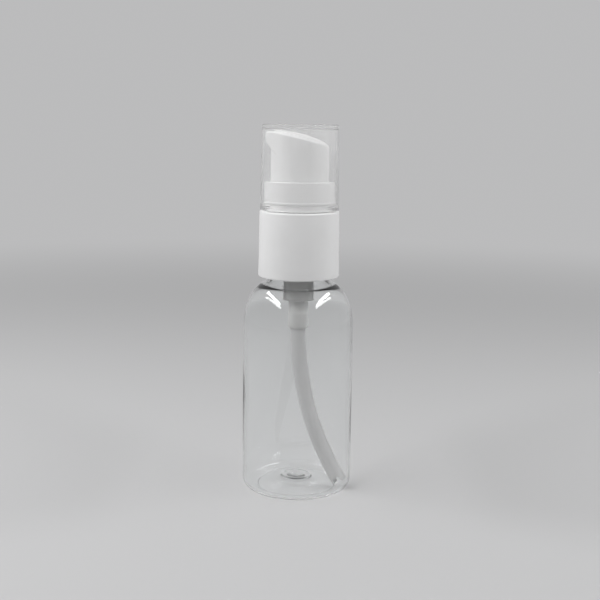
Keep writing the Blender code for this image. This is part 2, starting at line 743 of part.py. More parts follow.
def crown_ball(name, shrink, drop, collection):
    """The big ball whose surface is the crowned top. It leans back, away from the nozzle."""
    radius = CROWN_R - shrink
    mesh = bpy.data.meshes.new(name)
    shape = bmesh.new()
    bmesh.ops.create_uvsphere(shape, u_segments=64, v_segments=48, radius=radius)
    place = Matrix.Translation((-CROWN_OFFSET, 0, CROWN_Z - CROWN_R - drop))
    bmesh.ops.transform(shape, matrix=place, verts=shape.verts)
    shape.to_mesh(mesh)
    shape.free()
    return link(name, mesh, collection)


def nozzle_plan(name, collection):
    """The beak seen from above: from the tip's two corners, tangent to the round body."""
    body_r = ACTUATOR_R - ACTUATOR_TAPER
    tip = Vector((-NOZZLE_TIP_X, NOZZLE_HALF_WIDTH))
    bearing = math.atan2(tip.y, tip.x) - math.acos(body_r / tip.length)
    shoulder = Vector((math.cos(bearing), math.sin(bearing))) * body_r
    plan = [(0.0, 0.0), shoulder, tip, Vector((tip.x, -tip.y)), Vector((shoulder.x, -shoulder.y))]
    low = CROWN_Z - NOZZLE_FACE - 2 * NOZZLE_SLOPE_RISE
    high = CROWN_Z + SEAT
    curve = bpy.data.curves.new(name, "CURVE")
    curve.dimensions = "2D"
    curve.fill_mode = "BOTH"
    curve.extrude = (high - low) / 2
    spline = curve.splines.new("POLY")
    spline.points.add(len(plan) - 1)
    for point, place in zip(spline.points, plan):
        point.co = (place[0], place[1], 0.0, 1.0)
    spline.use_cyclic_u = True
    drawn = link(name + "_plan", curve, collection)
    drawn.location.z = (high + low) / 2
    bpy.context.view_layer.update()
    graph = bpy.context.evaluated_depsgraph_get()
    mesh = bpy.data.meshes.new_from_object(drawn.evaluated_get(graph))
    mesh.transform(drawn.matrix_world)
    shape = bmesh.new()
    shape.from_mesh(mesh)
    bmesh.ops.remove_doubles(shape, verts=shape.verts, dist=0.000001)
    bmesh.ops.recalc_face_normals(shape, faces=shape.faces)
    shape.to_mesh(mesh)
    shape.free()
    bpy.data.objects.remove(drawn, do_unlink=True)
    return link(name, mesh, collection)


def make_actuator(parts, cutters, material):
    """The head that a finger presses: a thin shell with a beak, a socket for the stem and a channel."""
    body_top_r = ACTUATOR_R - ACTUATOR_TAPER
    top_z = CROWN_Z + SEAT
    body = turned("actuator", [
        (0.0, top_z),
        (body_top_r, top_z),
        (ACTUATOR_R, ACTUATOR_Z),
        (0.0, ACTUATOR_Z),
    ], parts, FACETS, closed=False)

    beak = nozzle_plan("nozzle_beak", cutters)
    slope = math.atan2(NOZZLE_SLOPE_RISE, NOZZLE_TIP_X - body_top_r + 0.2 * MM)
    slope_low_z = CROWN_Z - NOZZLE_FACE
    under = Matrix.Translation((-NOZZLE_TIP_X, 0, slope_low_z)) @ Matrix.Rotation(slope, 4, "Y")
    depth = 10 * MM
    below = under @ Matrix.Translation((0, 0, -depth / 2))
    under_cut = block("nozzle_underside", (4 * depth, 4 * depth, depth), below, cutters)
    combine(beak, [under_cut], "DIFFERENCE")
    combine(body, [beak], "UNION")
    combine(body, [crown_ball("crown", 0.0, 0.0, cutters)], "INTERSECT")

    cavity = turned("actuator_cavity", [
        (0.0, top_z),
        (body_top_r - ACTUATOR_WALL, top_z),
        (ACTUATOR_R - ACTUATOR_WALL, ACTUATOR_Z - 1.0 * MM),
        (0.0, ACTUATOR_Z - 1.0 * MM),
    ], cutters, FACETS, closed=False)
    combine(cavity, [crown_ball("crown_underside", 0.0, DECK_THICK, cutters)], "INTERSECT")

    socket_top_z = STEM_TOP_Z + SEAT
    socket_low_z = STEM_TOP_Z - STEM_SOCKET_DEPTH
    bore_z = CROWN_Z - NOZZLE_BORE_DROP
    channel_r = NOZZLE_BORE_R + CHANNEL_WALL
    socket = rod(
        "stem_socket", STEM_SOCKET_R, (0, 0, socket_low_z), (0, 0, top_z), cutters, FINE_FACETS
    )
    channel = rod("nozzle_channel", channel_r, (0, 0, bore_z), (-NOZZLE_TIP_X, 0, bore_z), cutters)
    combine(cavity, [socket, channel], "DIFFERENCE")
    combine(body, [cavity], "DIFFERENCE")

    stem_hole = rod(
        "stem_hole", STEM_SOCKET_BORE_R, (0, 0, ACTUATOR_Z), (0, 0, socket_top_z), cutters, FINE_FACETS
    )
    riser = rod("riser", STEM_BORE_R, (0, 0, ACTUATOR_Z), (0, 0, bore_z), cutters)
    outlet = rod("outlet", NOZZLE_BORE_R, (0, 0, bore_z), (-NOZZLE_TIP_X - 1.0 * MM, 0, bore_z), cutters)
    return shade(combine(body, [stem_hole, riser, outlet], "DIFFERENCE"), material)


# ---------------------------------------------------------------- overcap

def make_overcap(parts, material):
    """A thin clear hood with a thicker lid, a gate mark inside it and a snap bead at its mouth."""
    draft = (OVERCAP_FOOT_R - OVERCAP_TOP_R) / (OVERCAP_TOP_Z - OVERCAP_Z)

    def inner_r(z):
        return OVERCAP_FOOT_R - OVERCAP_WALL - draft * (z - OVERCAP_Z)

    bead_z = COLLAR_Z + COLLAR_BEAD_Z - 1.2 * MM
    outline = rounded([
        (0.0, OVERCAP_TOP_Z),
        (OVERCAP_TOP_R, OVERCAP_TOP_Z, OVERCAP_EDGE),
        (OVERCAP_FOOT_R, OVERCAP_Z),
        (inner_r(OVERCAP_Z), OVERCAP_Z),
        (inner_r(bead_z), bead_z - 0.5 * MM),
        (inner_r(bead_z) - OVERCAP_SNAP, bead_z),
        (inner_r(bead_z), bead_z + 0.5 * MM),
        (inner_r(OVERCAP_CEILING_Z), OVERCAP_CEILING_Z, OVERCAP_EDGE),
        (OVERCAP_GATE_R + 0.3 * MM, OVERCAP_CEILING_Z),
        (OVERCAP_GATE_R, OVERCAP_CEILING_Z - OVERCAP_GATE_H),
        (0.0, OVERCAP_CEILING_Z - OVERCAP_GATE_H),
    ])
    return shade(turned("overcap", outline, parts, closed=False), material)


# ---------------------------------------------------------------- assembly

def main():
    empty_scene()
    parts = new_collection("treatment_pump_dispenser")
    cutters = new_collection("cutters")
    cutters.hide_render = True

    clear_pet = plastic("clear_pet", (0.92, 0.95, 0.96), 0.05, alpha=0.25)
    clear_styrene = plastic("clear_styrene", (0.90, 0.90, 0.90), 0.12, alpha=0.35)
    white_plastic = plastic("white_plastic", (0.80, 0.80, 0.80), 0.35)
    natural_plastic = plastic("natural_plastic", (0.55, 0.55, 0.54), 0.40, alpha=0.7)
    milky_tube = plastic("milky_tube", (0.60, 0.60, 0.60), 0.45, alpha=0.8)
    soft_seal = plastic("soft_seal", (0.75, 0.75, 0.74), 0.60)
    steel = plastic("steel", (0.62, 0.62, 0.62), 0.25, metallic=1.0)

    make_bottle(parts, cutters, clear_pet)
    closure = make_closure(parts, cutters, white_plastic)
    make_guide_collar(parts, white_plastic)
    make_housing(parts, cutters, natural_plastic)
    make_neck_gasket(parts, soft_seal)
    make_stem_guide(parts, natural_plastic)
    make_dip_tube(parts, cutters, milky_tube)
    make_inlet_ball(parts, steel)
    make_return_spring(parts, steel)
    piston = make_piston(parts, soft_seal)
    make_piston_rod(parts, natural_plastic)
    stem = make_main_stem(parts, natural_plastic)
    actuator = make_actuator(parts, cutters, white_plastic)
    overcap = make_overcap(parts, clear_styrene)

    pivot_at(closure, (0, 0, CLOSURE_Z))
    pivot_at(piston, (0, 0, PISTON_Z))
    pivot_at(stem, (0, 0, STEM_SHOULDER_Z))
    pivot_at(actuator, (0, 0, ACTUATOR_Z))
    pivot_at(overcap, (0, 0, OVERCAP_Z))


main()
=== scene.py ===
# %% [markdown]
# # A treatment pump dispenser in the studio
# The imported model is the frame: fourteen plain solids in their true places, in metres, +Z up.
# This lesson builds a finer piece in the place of each of them, gives it its plastic or steel,
# and lights the whole thing. Nothing here moves or resizes the frame, so every height below
# is read from it, and only walls, bores and roundings are given here.

# %% Load the frame
import math

import bmesh
import bpy
from mathutils import Matrix, Vector


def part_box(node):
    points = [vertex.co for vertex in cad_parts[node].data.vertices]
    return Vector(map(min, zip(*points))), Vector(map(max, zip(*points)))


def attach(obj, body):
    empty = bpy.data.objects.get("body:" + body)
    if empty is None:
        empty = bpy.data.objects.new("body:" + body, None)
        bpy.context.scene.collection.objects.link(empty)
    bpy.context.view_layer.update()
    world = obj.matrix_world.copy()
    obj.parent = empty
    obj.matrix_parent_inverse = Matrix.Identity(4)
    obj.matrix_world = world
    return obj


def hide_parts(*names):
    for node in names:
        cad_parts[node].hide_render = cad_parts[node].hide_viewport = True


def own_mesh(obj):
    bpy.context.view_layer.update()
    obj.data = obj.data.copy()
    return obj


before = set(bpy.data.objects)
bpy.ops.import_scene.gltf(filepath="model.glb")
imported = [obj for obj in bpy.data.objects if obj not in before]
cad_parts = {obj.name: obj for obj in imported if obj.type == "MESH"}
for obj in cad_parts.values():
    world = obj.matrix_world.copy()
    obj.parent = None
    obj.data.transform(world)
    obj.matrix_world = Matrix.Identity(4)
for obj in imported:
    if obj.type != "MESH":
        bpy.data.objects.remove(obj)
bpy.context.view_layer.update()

MM = 0.001

# %% [markdown]
# ## The camera
# It stands 30 cm in front of the bottle, as high as the overcap's lid, looks down by ten
# degrees, and is rolled by less than one degree. A fairly long lens keeps the upright lines
# nearly parallel. The camera is made first, because everything else is judged through it.

# %% Place the camera
CAMERA_PLACE = (0.0, -0.3048, 0.1122)
CAMERA_TILT = math.radians(80.03)
CAMERA_ROLL = math.radians(0.70)
FOCAL_LENGTH = 60.7
SENSOR_WIDTH = 36.0
SHIFT_ACROSS = 0.0028

lens = bpy.data.cameras.new("camera")
lens.lens = FOCAL_LENGTH
lens.sensor_width = SENSOR_WIDTH
lens.shift_x = SHIFT_ACROSS
camera = bpy.data.objects.new("camera", lens)
bpy.context.scene.collection.objects.link(camera)
turn = Matrix.Rotation(CAMERA_TILT, 4, "X") @ Matrix.Rotation(CAMERA_ROLL, 4, "Z")
camera.matrix_world = Matrix.Translation(CAMERA_PLACE) @ turn
bpy.context.scene.camera = camera
print("camera:", tuple(round(x, 4) for x in camera.location), "lens", lens.lens)

# %% [markdown]
# ## The studio
# Two strip lights hang up on the left and right and run from front to back, the left one a
# little stronger. They draw the long bright strokes on the bottle's shoulder and leave the
# middle of each white piece a shade darker than its sides. A weak, wide light from the front
# opens the shadows.

# %% Hang the lamps
MIDDLE = (0.0, 0.0, 0.07)
STRIP_LENGTH = 0.46
STRIP_WIDTH = 0.045


def hang_lamp(name, place, length, width, power):
    """An area lamp that faces the object. One that hangs to a side runs front to back."""
    light = bpy.data.lights.new(name, "AREA")
    light.shape = "RECTANGLE"
    light.size = width
    light.size_y = length
    light.energy = power
    lamp = bpy.data.objects.new(name, light)
    bpy.context.scene.collection.objects.link(lamp)
    back = (Vector(place) - Vector(MIDDLE)).normalized()
    along = Vector((0, 1, 0)) if abs(back.y) < 0.9 else Vector((0, 0, 1))
    side = along.cross(back).normalized()
    up = back.cross(side)
    lamp.matrix_world = Matrix.Translation(place) @ Matrix((side, up, back)).transposed().to_4x4()


hang_lamp("strip_left", (-0.34, -0.06, 0.40), STRIP_LENGTH, STRIP_WIDTH, power=1.75)
hang_lamp("strip_right", (0.34, -0.06, 0.40), STRIP_LENGTH, STRIP_WIDTH, power=1.3)
hang_lamp("fill_front", (0.0, -0.95, 0.45), length=0.7, width=0.9, power=0.5)

# %% [markdown]
# ## The floor and the backdrop
# The floor is a plain pale cloth close to the object, where it takes the shadow. Further off it
# fades into a backdrop of one even tone, so that no horizon shows. The backdrop is only for the
# camera, and for what glass and gloss show. The light that the world gives the object is set
# apart from it, or a paler backdrop would also light everything more strongly.

# %% Lay the floor and the backdrop
BACKDROP = (0.50, 0.50, 0.505, 1.0)
CLOTH = (0.52, 0.52, 0.525, 1.0)
ROOM_LIGHT = 0.30
FLOOR_SIDE = 8.0
FLOOR_DROP = 0.05 * MM
FADE_START = 0.15
FADE_END = 0.70


def node(tree, kind, **sockets):
    """A shader node with plain values set on its inputs."""
    made = tree.nodes.new("ShaderNode" + kind)
    for name, value in sockets.items():
        made.inputs[name.replace("_", " ")].default_value = value
    return made


def seen_directly(tree):
    """1 for camera, mirror and see-through rays, which should all meet the same backdrop."""
    path = node(tree, "LightPath")
    total = path.outputs["Is Camera Ray"]
    for ray in ("Is Glossy Ray", "Is Transmission Ray"):
        add = node(tree, "Math")
        add.operation = "MAXIMUM"
        tree.links.new(total, add.inputs[0])
        tree.links.new(path.outputs[ray], add.inputs[1])
        total = add.outputs[0]
    return total


def pale_backdrop():
    """One tone for what is seen, and a weaker even light for what is lit."""
    world = bpy.data.worlds.new("backdrop")
    world.use_nodes = True
    tree = world.node_tree
    tree.nodes.clear()
    seen = node(tree, "Background", Color=BACKDROP, Strength=1.0)
    lit = node(tree, "Background", Color=(1.0, 1.0, 1.0, 1.0), Strength=ROOM_LIGHT)
    mix = node(tree, "MixShader")
    out = node(tree, "OutputWorld")
    tree.links.new(seen_directly(tree), mix.inputs[0])
    tree.links.new(lit.outputs[0], mix.inputs[1])
    tree.links.new(seen.outputs[0], mix.inputs[2])
    tree.links.new(mix.outputs[0], out.inputs[0])
    bpy.context.scene.world = world


def pale_floor():
    """Cloth near the object, fading with distance into the backdrop's own tone."""
    material = bpy.data.materials.new("studio_floor")
    material.use_nodes = True
    tree = material.node_tree
    tree.nodes.clear()
    cloth = node(tree, "BsdfPrincipled", Base_Color=CLOTH, Roughness=0.75)
    glow = node(tree, "Emission", Color=BACKDROP, Strength=1.0)
    place = node(tree, "TexCoord")
    away = node(tree, "VectorMath")
    away.operation = "LENGTH"
    fade = node(tree, "MapRange", From_Min=FADE_START, From_Max=FADE_END)
    fade.interpolation_type = "SMOOTHSTEP"
    both = node(tree, "Math")
    both.operation = "MULTIPLY"
    mix = node(tree, "MixShader")
    out = node(tree, "OutputMaterial")
    tree.links.new(place.outputs["Object"], away.inputs[0])
    tree.links.new(away.outputs["Value"], fade.inputs["Value"])
    tree.links.new(fade.outputs["Result"], both.inputs[0])
    tree.links.new(seen_directly(tree), both.inputs[1])
    tree.links.new(both.outputs[0], mix.inputs[0])
    tree.links.new(cloth.outputs[0], mix.inputs[1])
    tree.links.new(glow.outputs[0], mix.inputs[2])
    tree.links.new(mix.outputs[0], out.inputs[0])
    return material


bpy.ops.object.select_all(action="DESELECT")
bpy.ops.mesh.primitive_plane_add(size=FLOOR_SIDE, location=(0, 0, -FLOOR_DROP))
floor = bpy.context.object
floor.name = "studio_floor"
floor.data.materials.append(pale_floor())
pale_backdrop()
bpy.context.scene.view_settings.view_transform = "Standard"
print("floor:", [round(side, 2) for side in floor.dimensions])

# %% [markdown]
# ## How a moulded piece is drawn
# Nearly every part of a pump is turned: its mould was cut on a lathe. The same way works
# here. A plane is merged into a single point, the point is extruded along one side of the
# piece's section, and the line is spun round the Z axis. Corners that a mould rounds on
# purpose are written into the outline, as points on a small arc that touches both sides.

# %% Draw an outline
def rounded(corners, steps=6):
    """Points of an outline from corners (r, z) or (r, z, fillet)."""
    points = []
    for index, corner in enumerate(corners):
        here = Vector(corner[:2])
        fillet = corner[2] if len(corner) > 2 else 0.0
        if not fillet:
            points.append(tuple(here))
            continue
        following = corners[(index + 1) % len(corners)]
        to_last = (Vector(corners[index - 1][:2]) - here).normalized()
        to_next = (Vector(following[:2]) - here).normalized()
        half = to_last.angle(to_next) / 2
        centre = here + (to_last + to_next).normalized() * fillet / math.sin(half)
        start = here + to_last * fillet / math.tan(half) - centre
        sweep = start.angle_signed(here + to_next * fillet / math.tan(half) - centre)
        for step in range(steps + 1):
            swung = Matrix.Rotation(-sweep * step / steps, 2) @ start
            points.append(tuple(centre + swung))
    return points


def arc(centre, radii, start, end, steps):
    """Points along part of an ellipse in the outline's plane, angles in degrees."""
    points = []
    for step in range(steps + 1):
        angle = math.radians(start + (end - start) * step / steps)
        points.append((
            centre[0] + radii[0] * math.cos(angle),
            centre[1] + radii[1] * math.sin(angle),
        ))
    return points


corner_test = rounded([(0, 0), (1, 0), (1, 1, 0.2), (0, 1)])
print("a square with one rounded corner:", len(corner_test), "points")

# %% [markdown]
# ## How it is spun and finished
# The spin leaves a seam where it closes, and a fan of doubled points wherever the outline
# touches the axis, so doubles are merged before the faces are turned outwards. The small
# rounding that every moulded edge has comes from a Bevel modifier, because it is the same all
# over a piece. Pieces are joined and cut by the exact Boolean, which leaves a clean edge.

# %% Spin it
SIDES = 144
WELD = 0.002 * MM
SHARP = math.radians(32)


def pick(piece):
    """Selects one object and nothing else."""
    bpy.ops.object.select_all(action="DESELECT")
    piece.select_set(True)
    bpy.context.view_layer.objects.active = piece


def start_from(name):
    """Names the primitive just added and moves its place into its mesh."""
    piece = bpy.context.object
    piece.name = name
    piece.data.name = name
    bpy.ops.object.transform_apply(location=True, rotation=True, scale=True)
    return piece


def weld():
    """In edit mode: merges doubles and turns every face outwards."""
    bpy.ops.mesh.select_all(action="SELECT")
    bpy.ops.mesh.remove_doubles(threshold=WELD)
    bpy.ops.mesh.normals_make_consistent(inside=False)


def spun(name, outline, ring=True, sides=SIDES):
    """A turned piece. A ring's outline closes on itself. Any other begins and ends on the axis."""
    outline = list(outline) + (outline[:1] if ring else [])
    r, z = outline[0]
    bpy.ops.object.select_all(action="DESELECT")
    bpy.ops.mesh.primitive_plane_add(size=MM, location=(r, 0, z))
    piece = start_from(name)
    bpy.ops.object.mode_set(mode="EDIT")
    bpy.ops.mesh.merge(type="CENTER")
    for (r0, z0), (r1, z1) in zip(outline, outline[1:]):
        bpy.ops.mesh.extrude_region_move(
            TRANSFORM_OT_translate={"value": (r1 - r0, 0, z1 - z0)}
        )
    bpy.ops.mesh.select_all(action="SELECT")
    bpy.ops.mesh.spin(steps=sides, angle=math.tau, center=(0, 0, 0), axis=(0, 0, 1))
    weld()
    bpy.ops.object.mode_set(mode="OBJECT")
    return piece


def use(piece, kind, **settings):
    """Adds one modifier, sets it and applies it."""
    pick(piece)
    bpy.ops.object.modifier_add(type=kind)
    modifier = piece.modifiers[-1]
    for name, value in settings.items():
        setattr(modifier, name, value)
    bpy.ops.object.modifier_apply(modifier=modifier.name)
    return piece


def ease_edges(piece, width, segments=2):
    """The small rounding on every edge that the outline leaves sharp."""
    return use(
        piece, "BEVEL", width=width, segments=segments, limit_method="ANGLE",
        angle_limit=SHARP, use_clamp_overlap=True,
    )


def join_or_cut(piece, others, operation):
    """Joins with, or cuts by, each of the others, and removes them."""
    for other in others:
        use(piece, "BOOLEAN", object=other, operation=operation, solver="EXACT")
        bpy.data.objects.remove(other, do_unlink=True)


def size_of(node_name):
    """Widest radius, foot and top of a frame piece."""
    low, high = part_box(node_name)
    return high.x, low.z, high.z


def hand_over(piece, finish, body, stands_for, crease=30):
    """Gives a finished piece its material and its place in the frame."""
    piece.data.materials.clear()
    piece.data.materials.append(finish)
    pick(piece)
    bpy.ops.object.shade_smooth_by_angle(angle=math.radians(crease))
    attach(piece, body)
    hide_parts(stands_for)
    print(f"{piece.name}: {len(piece.data.polygons)} faces, rides on {body}")


print("tools ready: spun, use, ease_edges, join_or_cut, hand_over")

# %% [markdown]
# ## What the plastics share
# A moulded surface is never perfect. It carries the fine matt grain of its mould and slow
# clouds where the melt cooled unevenly, and handling adds thin rub marks. Each effect is a
# node group, built once, that puts out plain masks. Each material then decides how far they
# move its own colour, roughness and height.

# %% Grain, clouds and rub marks as node groups
GRAIN = 5200.0
CLOUDS = 160.0
RARITY = 0.66
MARK_EDGE = 0.05


def new_group(name, inputs, outputs):
    """An empty node group with number sockets, and the nodes at its two ends."""
    tree = bpy.data.node_groups.new(name, "ShaderNodeTree")
    for label, value in inputs.items():
        tree.interface.new_socket(name=label, in_out="INPUT", socket_type="NodeSocketFloat")
        tree.interface.items_tree[label].default_value = value
    for label in outputs:
        tree.interface.new_socket(name=label, in_out="OUTPUT", socket_type="NodeSocketFloat")
    return tree, tree.nodes.new("NodeGroupInput"), tree.nodes.new("NodeGroupOutput")


def moulded_skin():
    """Grain: the mould's fine texture. Clouds: slow changes across the piece. Both run 0 to 1."""
    tree, asked, given = new_group(
        "moulded_skin", {"Grain Scale": GRAIN, "Cloud Scale": CLOUDS}, ("Grain", "Clouds")
    )
    place = node(tree, "TexCoord")
    for label, out, detail in (("Grain Scale", "Grain", 3.0), ("Cloud Scale", "Clouds", 2.0)):
        noise = node(tree, "TexNoise", Detail=detail, Roughness=0.55)
        tree.links.new(place.outputs["Object"], noise.inputs["Vector"])
        tree.links.new(asked.outputs[label], noise.inputs["Scale"])
        tree.links.new(noise.outputs[0], given.inputs[out])
    return tree


def rub_marks():
    """Marks: thin straight scuffs in two directions, 1 on a mark and 0 elsewhere."""
    tree, asked, given = new_group("rub_marks", {"Scale": 900.0, "Rarity": RARITY}, ("Marks",))
    place = node(tree, "TexCoord")
    edge = node(tree, "Math")
    edge.operation = "ADD"
    edge.inputs[1].default_value = MARK_EDGE
    tree.links.new(asked.outputs["Rarity"], edge.inputs[0])
    masks = []
    for lean, squeeze in ((0.5, (1.0, 1.0, 0.06)), (-0.9, (0.08, 1.0, 1.0))):
        laid = node(tree, "Mapping", Rotation=(lean, 0.35, lean / 2), Scale=squeeze)
        noise = node(tree, "TexNoise", Detail=1.0)
        mask = node(tree, "MapRange")
        tree.links.new(place.outputs["Object"], laid.inputs["Vector"])
        tree.links.new(laid.outputs[0], noise.inputs["Vector"])
        tree.links.new(asked.outputs["Scale"], noise.inputs["Scale"])
        tree.links.new(noise.outputs[0], mask.inputs["Value"])
        tree.links.new(asked.outputs["Rarity"], mask.inputs["From Min"])
        tree.links.new(edge.outputs[0], mask.inputs["From Max"])
        masks.append(mask.outputs["Result"])
    both = node(tree, "Math")
    both.operation = "MAXIMUM"
    tree.links.new(masks[0], both.inputs[0])
    tree.links.new(masks[1], both.inputs[1])
    tree.links.new(both.outputs[0], given.inputs["Marks"])
    return tree


SKIN = moulded_skin()
MARKS = rub_marks()
print("groups:", [group.name for group in bpy.data.node_groups])

# %% [markdown]
# ## From masks to a finish
# All the moulded surfaces are made in one way, so one function makes them. The clouds choose
# between a light and a dark tone, the grain and the rub marks set the roughness, and the grain
# raises the surface by a few thousandths of a millimetre. What is the same all over, such as
# the index of refraction, is set straight on the shader.

# %% A finish from those masks
def placed(tree, group, **values):
    """A group node with this material's own values."""
    made = tree.nodes.new("ShaderNodeGroup")
    made.node_tree = group
    for name, value in values.items():
        made.inputs[name.replace("_", " ")].default_value = value
    return made


def ranged(tree, source, low, high):
    """Stretches a 0 to 1 mask over low to high."""
    made = node(tree, "MapRange", To_Min=low, To_Max=high)
    tree.links.new(source, made.inputs["Value"])
    return made.outputs["Result"]


def finish(
    name, light, dark, rough, height, grain=GRAIN, clouds=CLOUDS, rarity=RARITY, **shader_values
):
    """A moulded surface. rough holds its least and most, and how much a rub mark adds."""
    material = bpy.data.materials.new(name)
    material.use_nodes = True
    tree = material.node_tree
    shader = tree.nodes["Principled BSDF"]
    for label, value in shader_values.items():
        shader.inputs[label.replace("_", " ")].default_value = value
    skin = placed(tree, SKIN, Grain_Scale=grain, Cloud_Scale=clouds)
    marks = placed(tree, MARKS, Rarity=rarity)
    tone = node(tree, "Mix")
    tone.data_type = "RGBA"
    # A Mix node has one pair of sockets for each kind of value: 6, 7 and 2 are its colours.
    tone.inputs[6].default_value = (*dark, 1.0)
    tone.inputs[7].default_value = (*light, 1.0)
    tree.links.new(skin.outputs["Clouds"], tone.inputs[0])
    tree.links.new(tone.outputs[2], shader.inputs["Base Color"])
    base = ranged(tree, skin.outputs["Grain"], rough[0], rough[1])
    worn = node(tree, "Math")
    worn.operation = "ADD"
    tree.links.new(base, worn.inputs[0])
    tree.links.new(ranged(tree, marks.outputs["Marks"], 0.0, rough[2]), worn.inputs[1])
    tree.links.new(worn.outputs[0], shader.inputs["Roughness"])
    bump = node(tree, "Bump", Strength=1.0, Distance=height)
    tree.links.new(skin.outputs["Grain"], bump.inputs["Height"])
    tree.links.new(bump.outputs[0], shader.inputs["Normal"])
    return material


def let_lamps_through(material, share):
    """Clear plastic hardly shades what is inside it, so lamp light reaches through by this share.
    Rays that leave a matt surface pass in the same way, or that surface would be lit twice."""
    tree = material.node_tree
    path = node(tree, "LightPath")
    either = node(tree, "Math")
    either.operation = "MAXIMUM"
    tree.links.new(path.outputs["Is Shadow Ray"], either.inputs[0])
    tree.links.new(path.outputs["Is Diffuse Ray"], either.inputs[1])
    alpha = ranged(tree, either.outputs[0], 1.0, 1.0 - share)
    tree.links.new(alpha, tree.nodes["Principled BSDF"].inputs["Alpha"])
    return material


# %% [markdown]
# ## The seven materials
# The bottle is blown from PET, which is as clear as glass and nearly as smooth. The overcap is
# moulded styrene with a faint haze. Closure, collar and actuator are white polypropylene with
# a satin grain. The pump's inner parts are the same plastic left natural, which is milky, and
# the dip tube is softer polyethylene, milkier still. Seals are soft and matt. Ball and spring
# are stainless steel.

# %% Mix the materials
CLEAR_PET = let_lamps_through(finish(
    "clear_pet", (0.985, 0.99, 0.99), (0.97, 0.98, 0.98), (0.0, 0.02, 0.12), 0.001 * MM,
    grain=700.0, clouds=90.0, rarity=0.70, Transmission_Weight=1.0, IOR=1.57,
), share=0.93)
HAZY_STYRENE = let_lamps_through(finish(
    "hazy_styrene", (0.98, 0.98, 0.98), (0.95, 0.95, 0.95), (0.03, 0.09, 0.15), 0.001 * MM,
    grain=900.0, clouds=110.0, Transmission_Weight=0.90, IOR=1.59,
), share=0.90)
WHITE_PLASTIC = finish(
    "white_polypropylene", (0.84, 0.84, 0.84), (0.79, 0.79, 0.79), (0.30, 0.44, 0.08), 0.012 * MM,
    IOR=1.49, Subsurface_Weight=0.12, Subsurface_Radius=(1.0, 1.0, 1.0), Subsurface_Scale=0.6 * MM,
)
NATURAL_PLASTIC = finish(
    "natural_polypropylene", (0.86, 0.86, 0.85), (0.76, 0.76, 0.75), (0.36, 0.52, 0.05), 0.010 * MM,
    IOR=1.49, Transmission_Weight=0.60,
)
MILKY_TUBE = finish(
    "milky_polyethylene", (0.80, 0.80, 0.80), (0.70, 0.70, 0.70), (0.34, 0.46, 0.10), 0.010 * MM,
    clouds=240.0, IOR=1.51, Transmission_Weight=0.42,
)
SOFT_SEAL = finish(
    "soft_polyethylene", (0.78, 0.78, 0.77), (0.66, 0.66, 0.65), (0.50, 0.66, 0.05), 0.02 * MM,
    grain=3200.0, IOR=1.50,
)
STEEL = finish(
    "stainless_steel", (0.66, 0.66, 0.65), (0.56, 0.56, 0.55), (0.12, 0.30, 0.15), 0.002 * MM,
    grain=4000.0, clouds=500.0, Metallic=1.0,
)
print("materials:", [m.name for m in bpy.data.materials if m.name != "studio_floor"])

# %% [markdown]
# ## The bottle
# A preform was blown against a cold mould, so the outside is exact and the inside is not: the
# wall wanders by a few hundredths of a millimetre, which is what bends the view through it
# into streaks. The base is pushed up into a dome with the gate's button in its middle, and the
# bottle stands on a flat ring. First come the sizes, and the curves that the wall follows.

# %% Write down the bottle's curves
BOTTLE_WALL = 0.6 * MM
HEEL_R = 2.6 * MM
FOOT_WIDTH = 2.3 * MM
PUSH_UP = 2.3 * MM
GATE_R = 2.4 * MM
GATE_H = 0.5 * MM
BODY_HEIGHT = 50.5 * MM
SHOULDER_RISE = 14.2 * MM
NECK_R = 8.7 * MM
NECK_WALL = 1.4 * MM
SHOULDER_GROWTH = 0.9 * MM
MIDDLE_EXTRA = 0.4 * MM
NUB_R = 0.8 * MM
NUB_H = 0.30 * MM
FAINT_RING_R = 4.3 * MM
FAINT_RING_WIDTH = 0.5 * MM
FAINT_RING_H = 0.14 * MM
bottle_r, _, mouth_z = size_of("bottle")
ring_out = bottle_r - HEEL_R
ring_in = ring_out - FOOT_WIDTH
neck_base = BODY_HEIGHT + SHOULDER_RISE
shoulder_r = bottle_r - NECK_R + 0.2 * MM
shoulder = (bottle_r - shoulder_r, BODY_HEIGHT)
heel = (ring_out, HEEL_R)


def dome(r):
    """Height of the pushed-up base, outside, at a radius."""
    return PUSH_UP * math.cos(math.pi / 2 * (r / ring_in) ** 2)


def base_marks(r):
    """What the blowing leaves inside the base: a thicker middle, a nub and a faint ring."""
    thicker = MIDDLE_EXTRA * (1 - r / ring_in)
    nub = NUB_H * math.exp(-((r / NUB_R) ** 2))
    ring = FAINT_RING_H * math.exp(-(((r - FAINT_RING_R) / FAINT_RING_WIDTH) ** 2))
    return thicker + nub + ring


def sweep_into_neck(last_two, neck_r, rise, steps=8):
    """A smooth curve that carries on from the shoulder's last points and ends upright."""
    (r0, z0), (r1, z1) = last_two
    corner = z1 + (z1 - z0) / (r1 - r0) * (neck_r - r1)
    points = []
    for step in range(steps + 1):
        t = step / steps
        r = (1 - t) ** 2 * r1 + (1 - (1 - t) ** 2) * neck_r
        z = (1 - t) ** 2 * z1 + 2 * t * (1 - t) * corner + t * t * (corner + rise)
        points.append((r, z))
    return points


print("bottle:", round(bottle_r / MM, 1), "mm radius, shoulder", round(shoulder_r / MM, 1), "mm")

# %% [markdown]
# The outline runs up the inside, over the mouth, down the outside and back to the middle, so
# the wall has its real thickness. Towards the neck the plastic was stretched less, so there the
# wall grows. Clear pieces bend the light, which shows every facet, so they get more sides than
# the rest.

# %% Turn the bottle
CLEAR_SIDES = 240
DOME_STEPS = 12
HEEL_STEPS = 10
GROWTH_START = 20
GROWTH_SPAN = 64
LIP_EDGE = 0.3 * MM


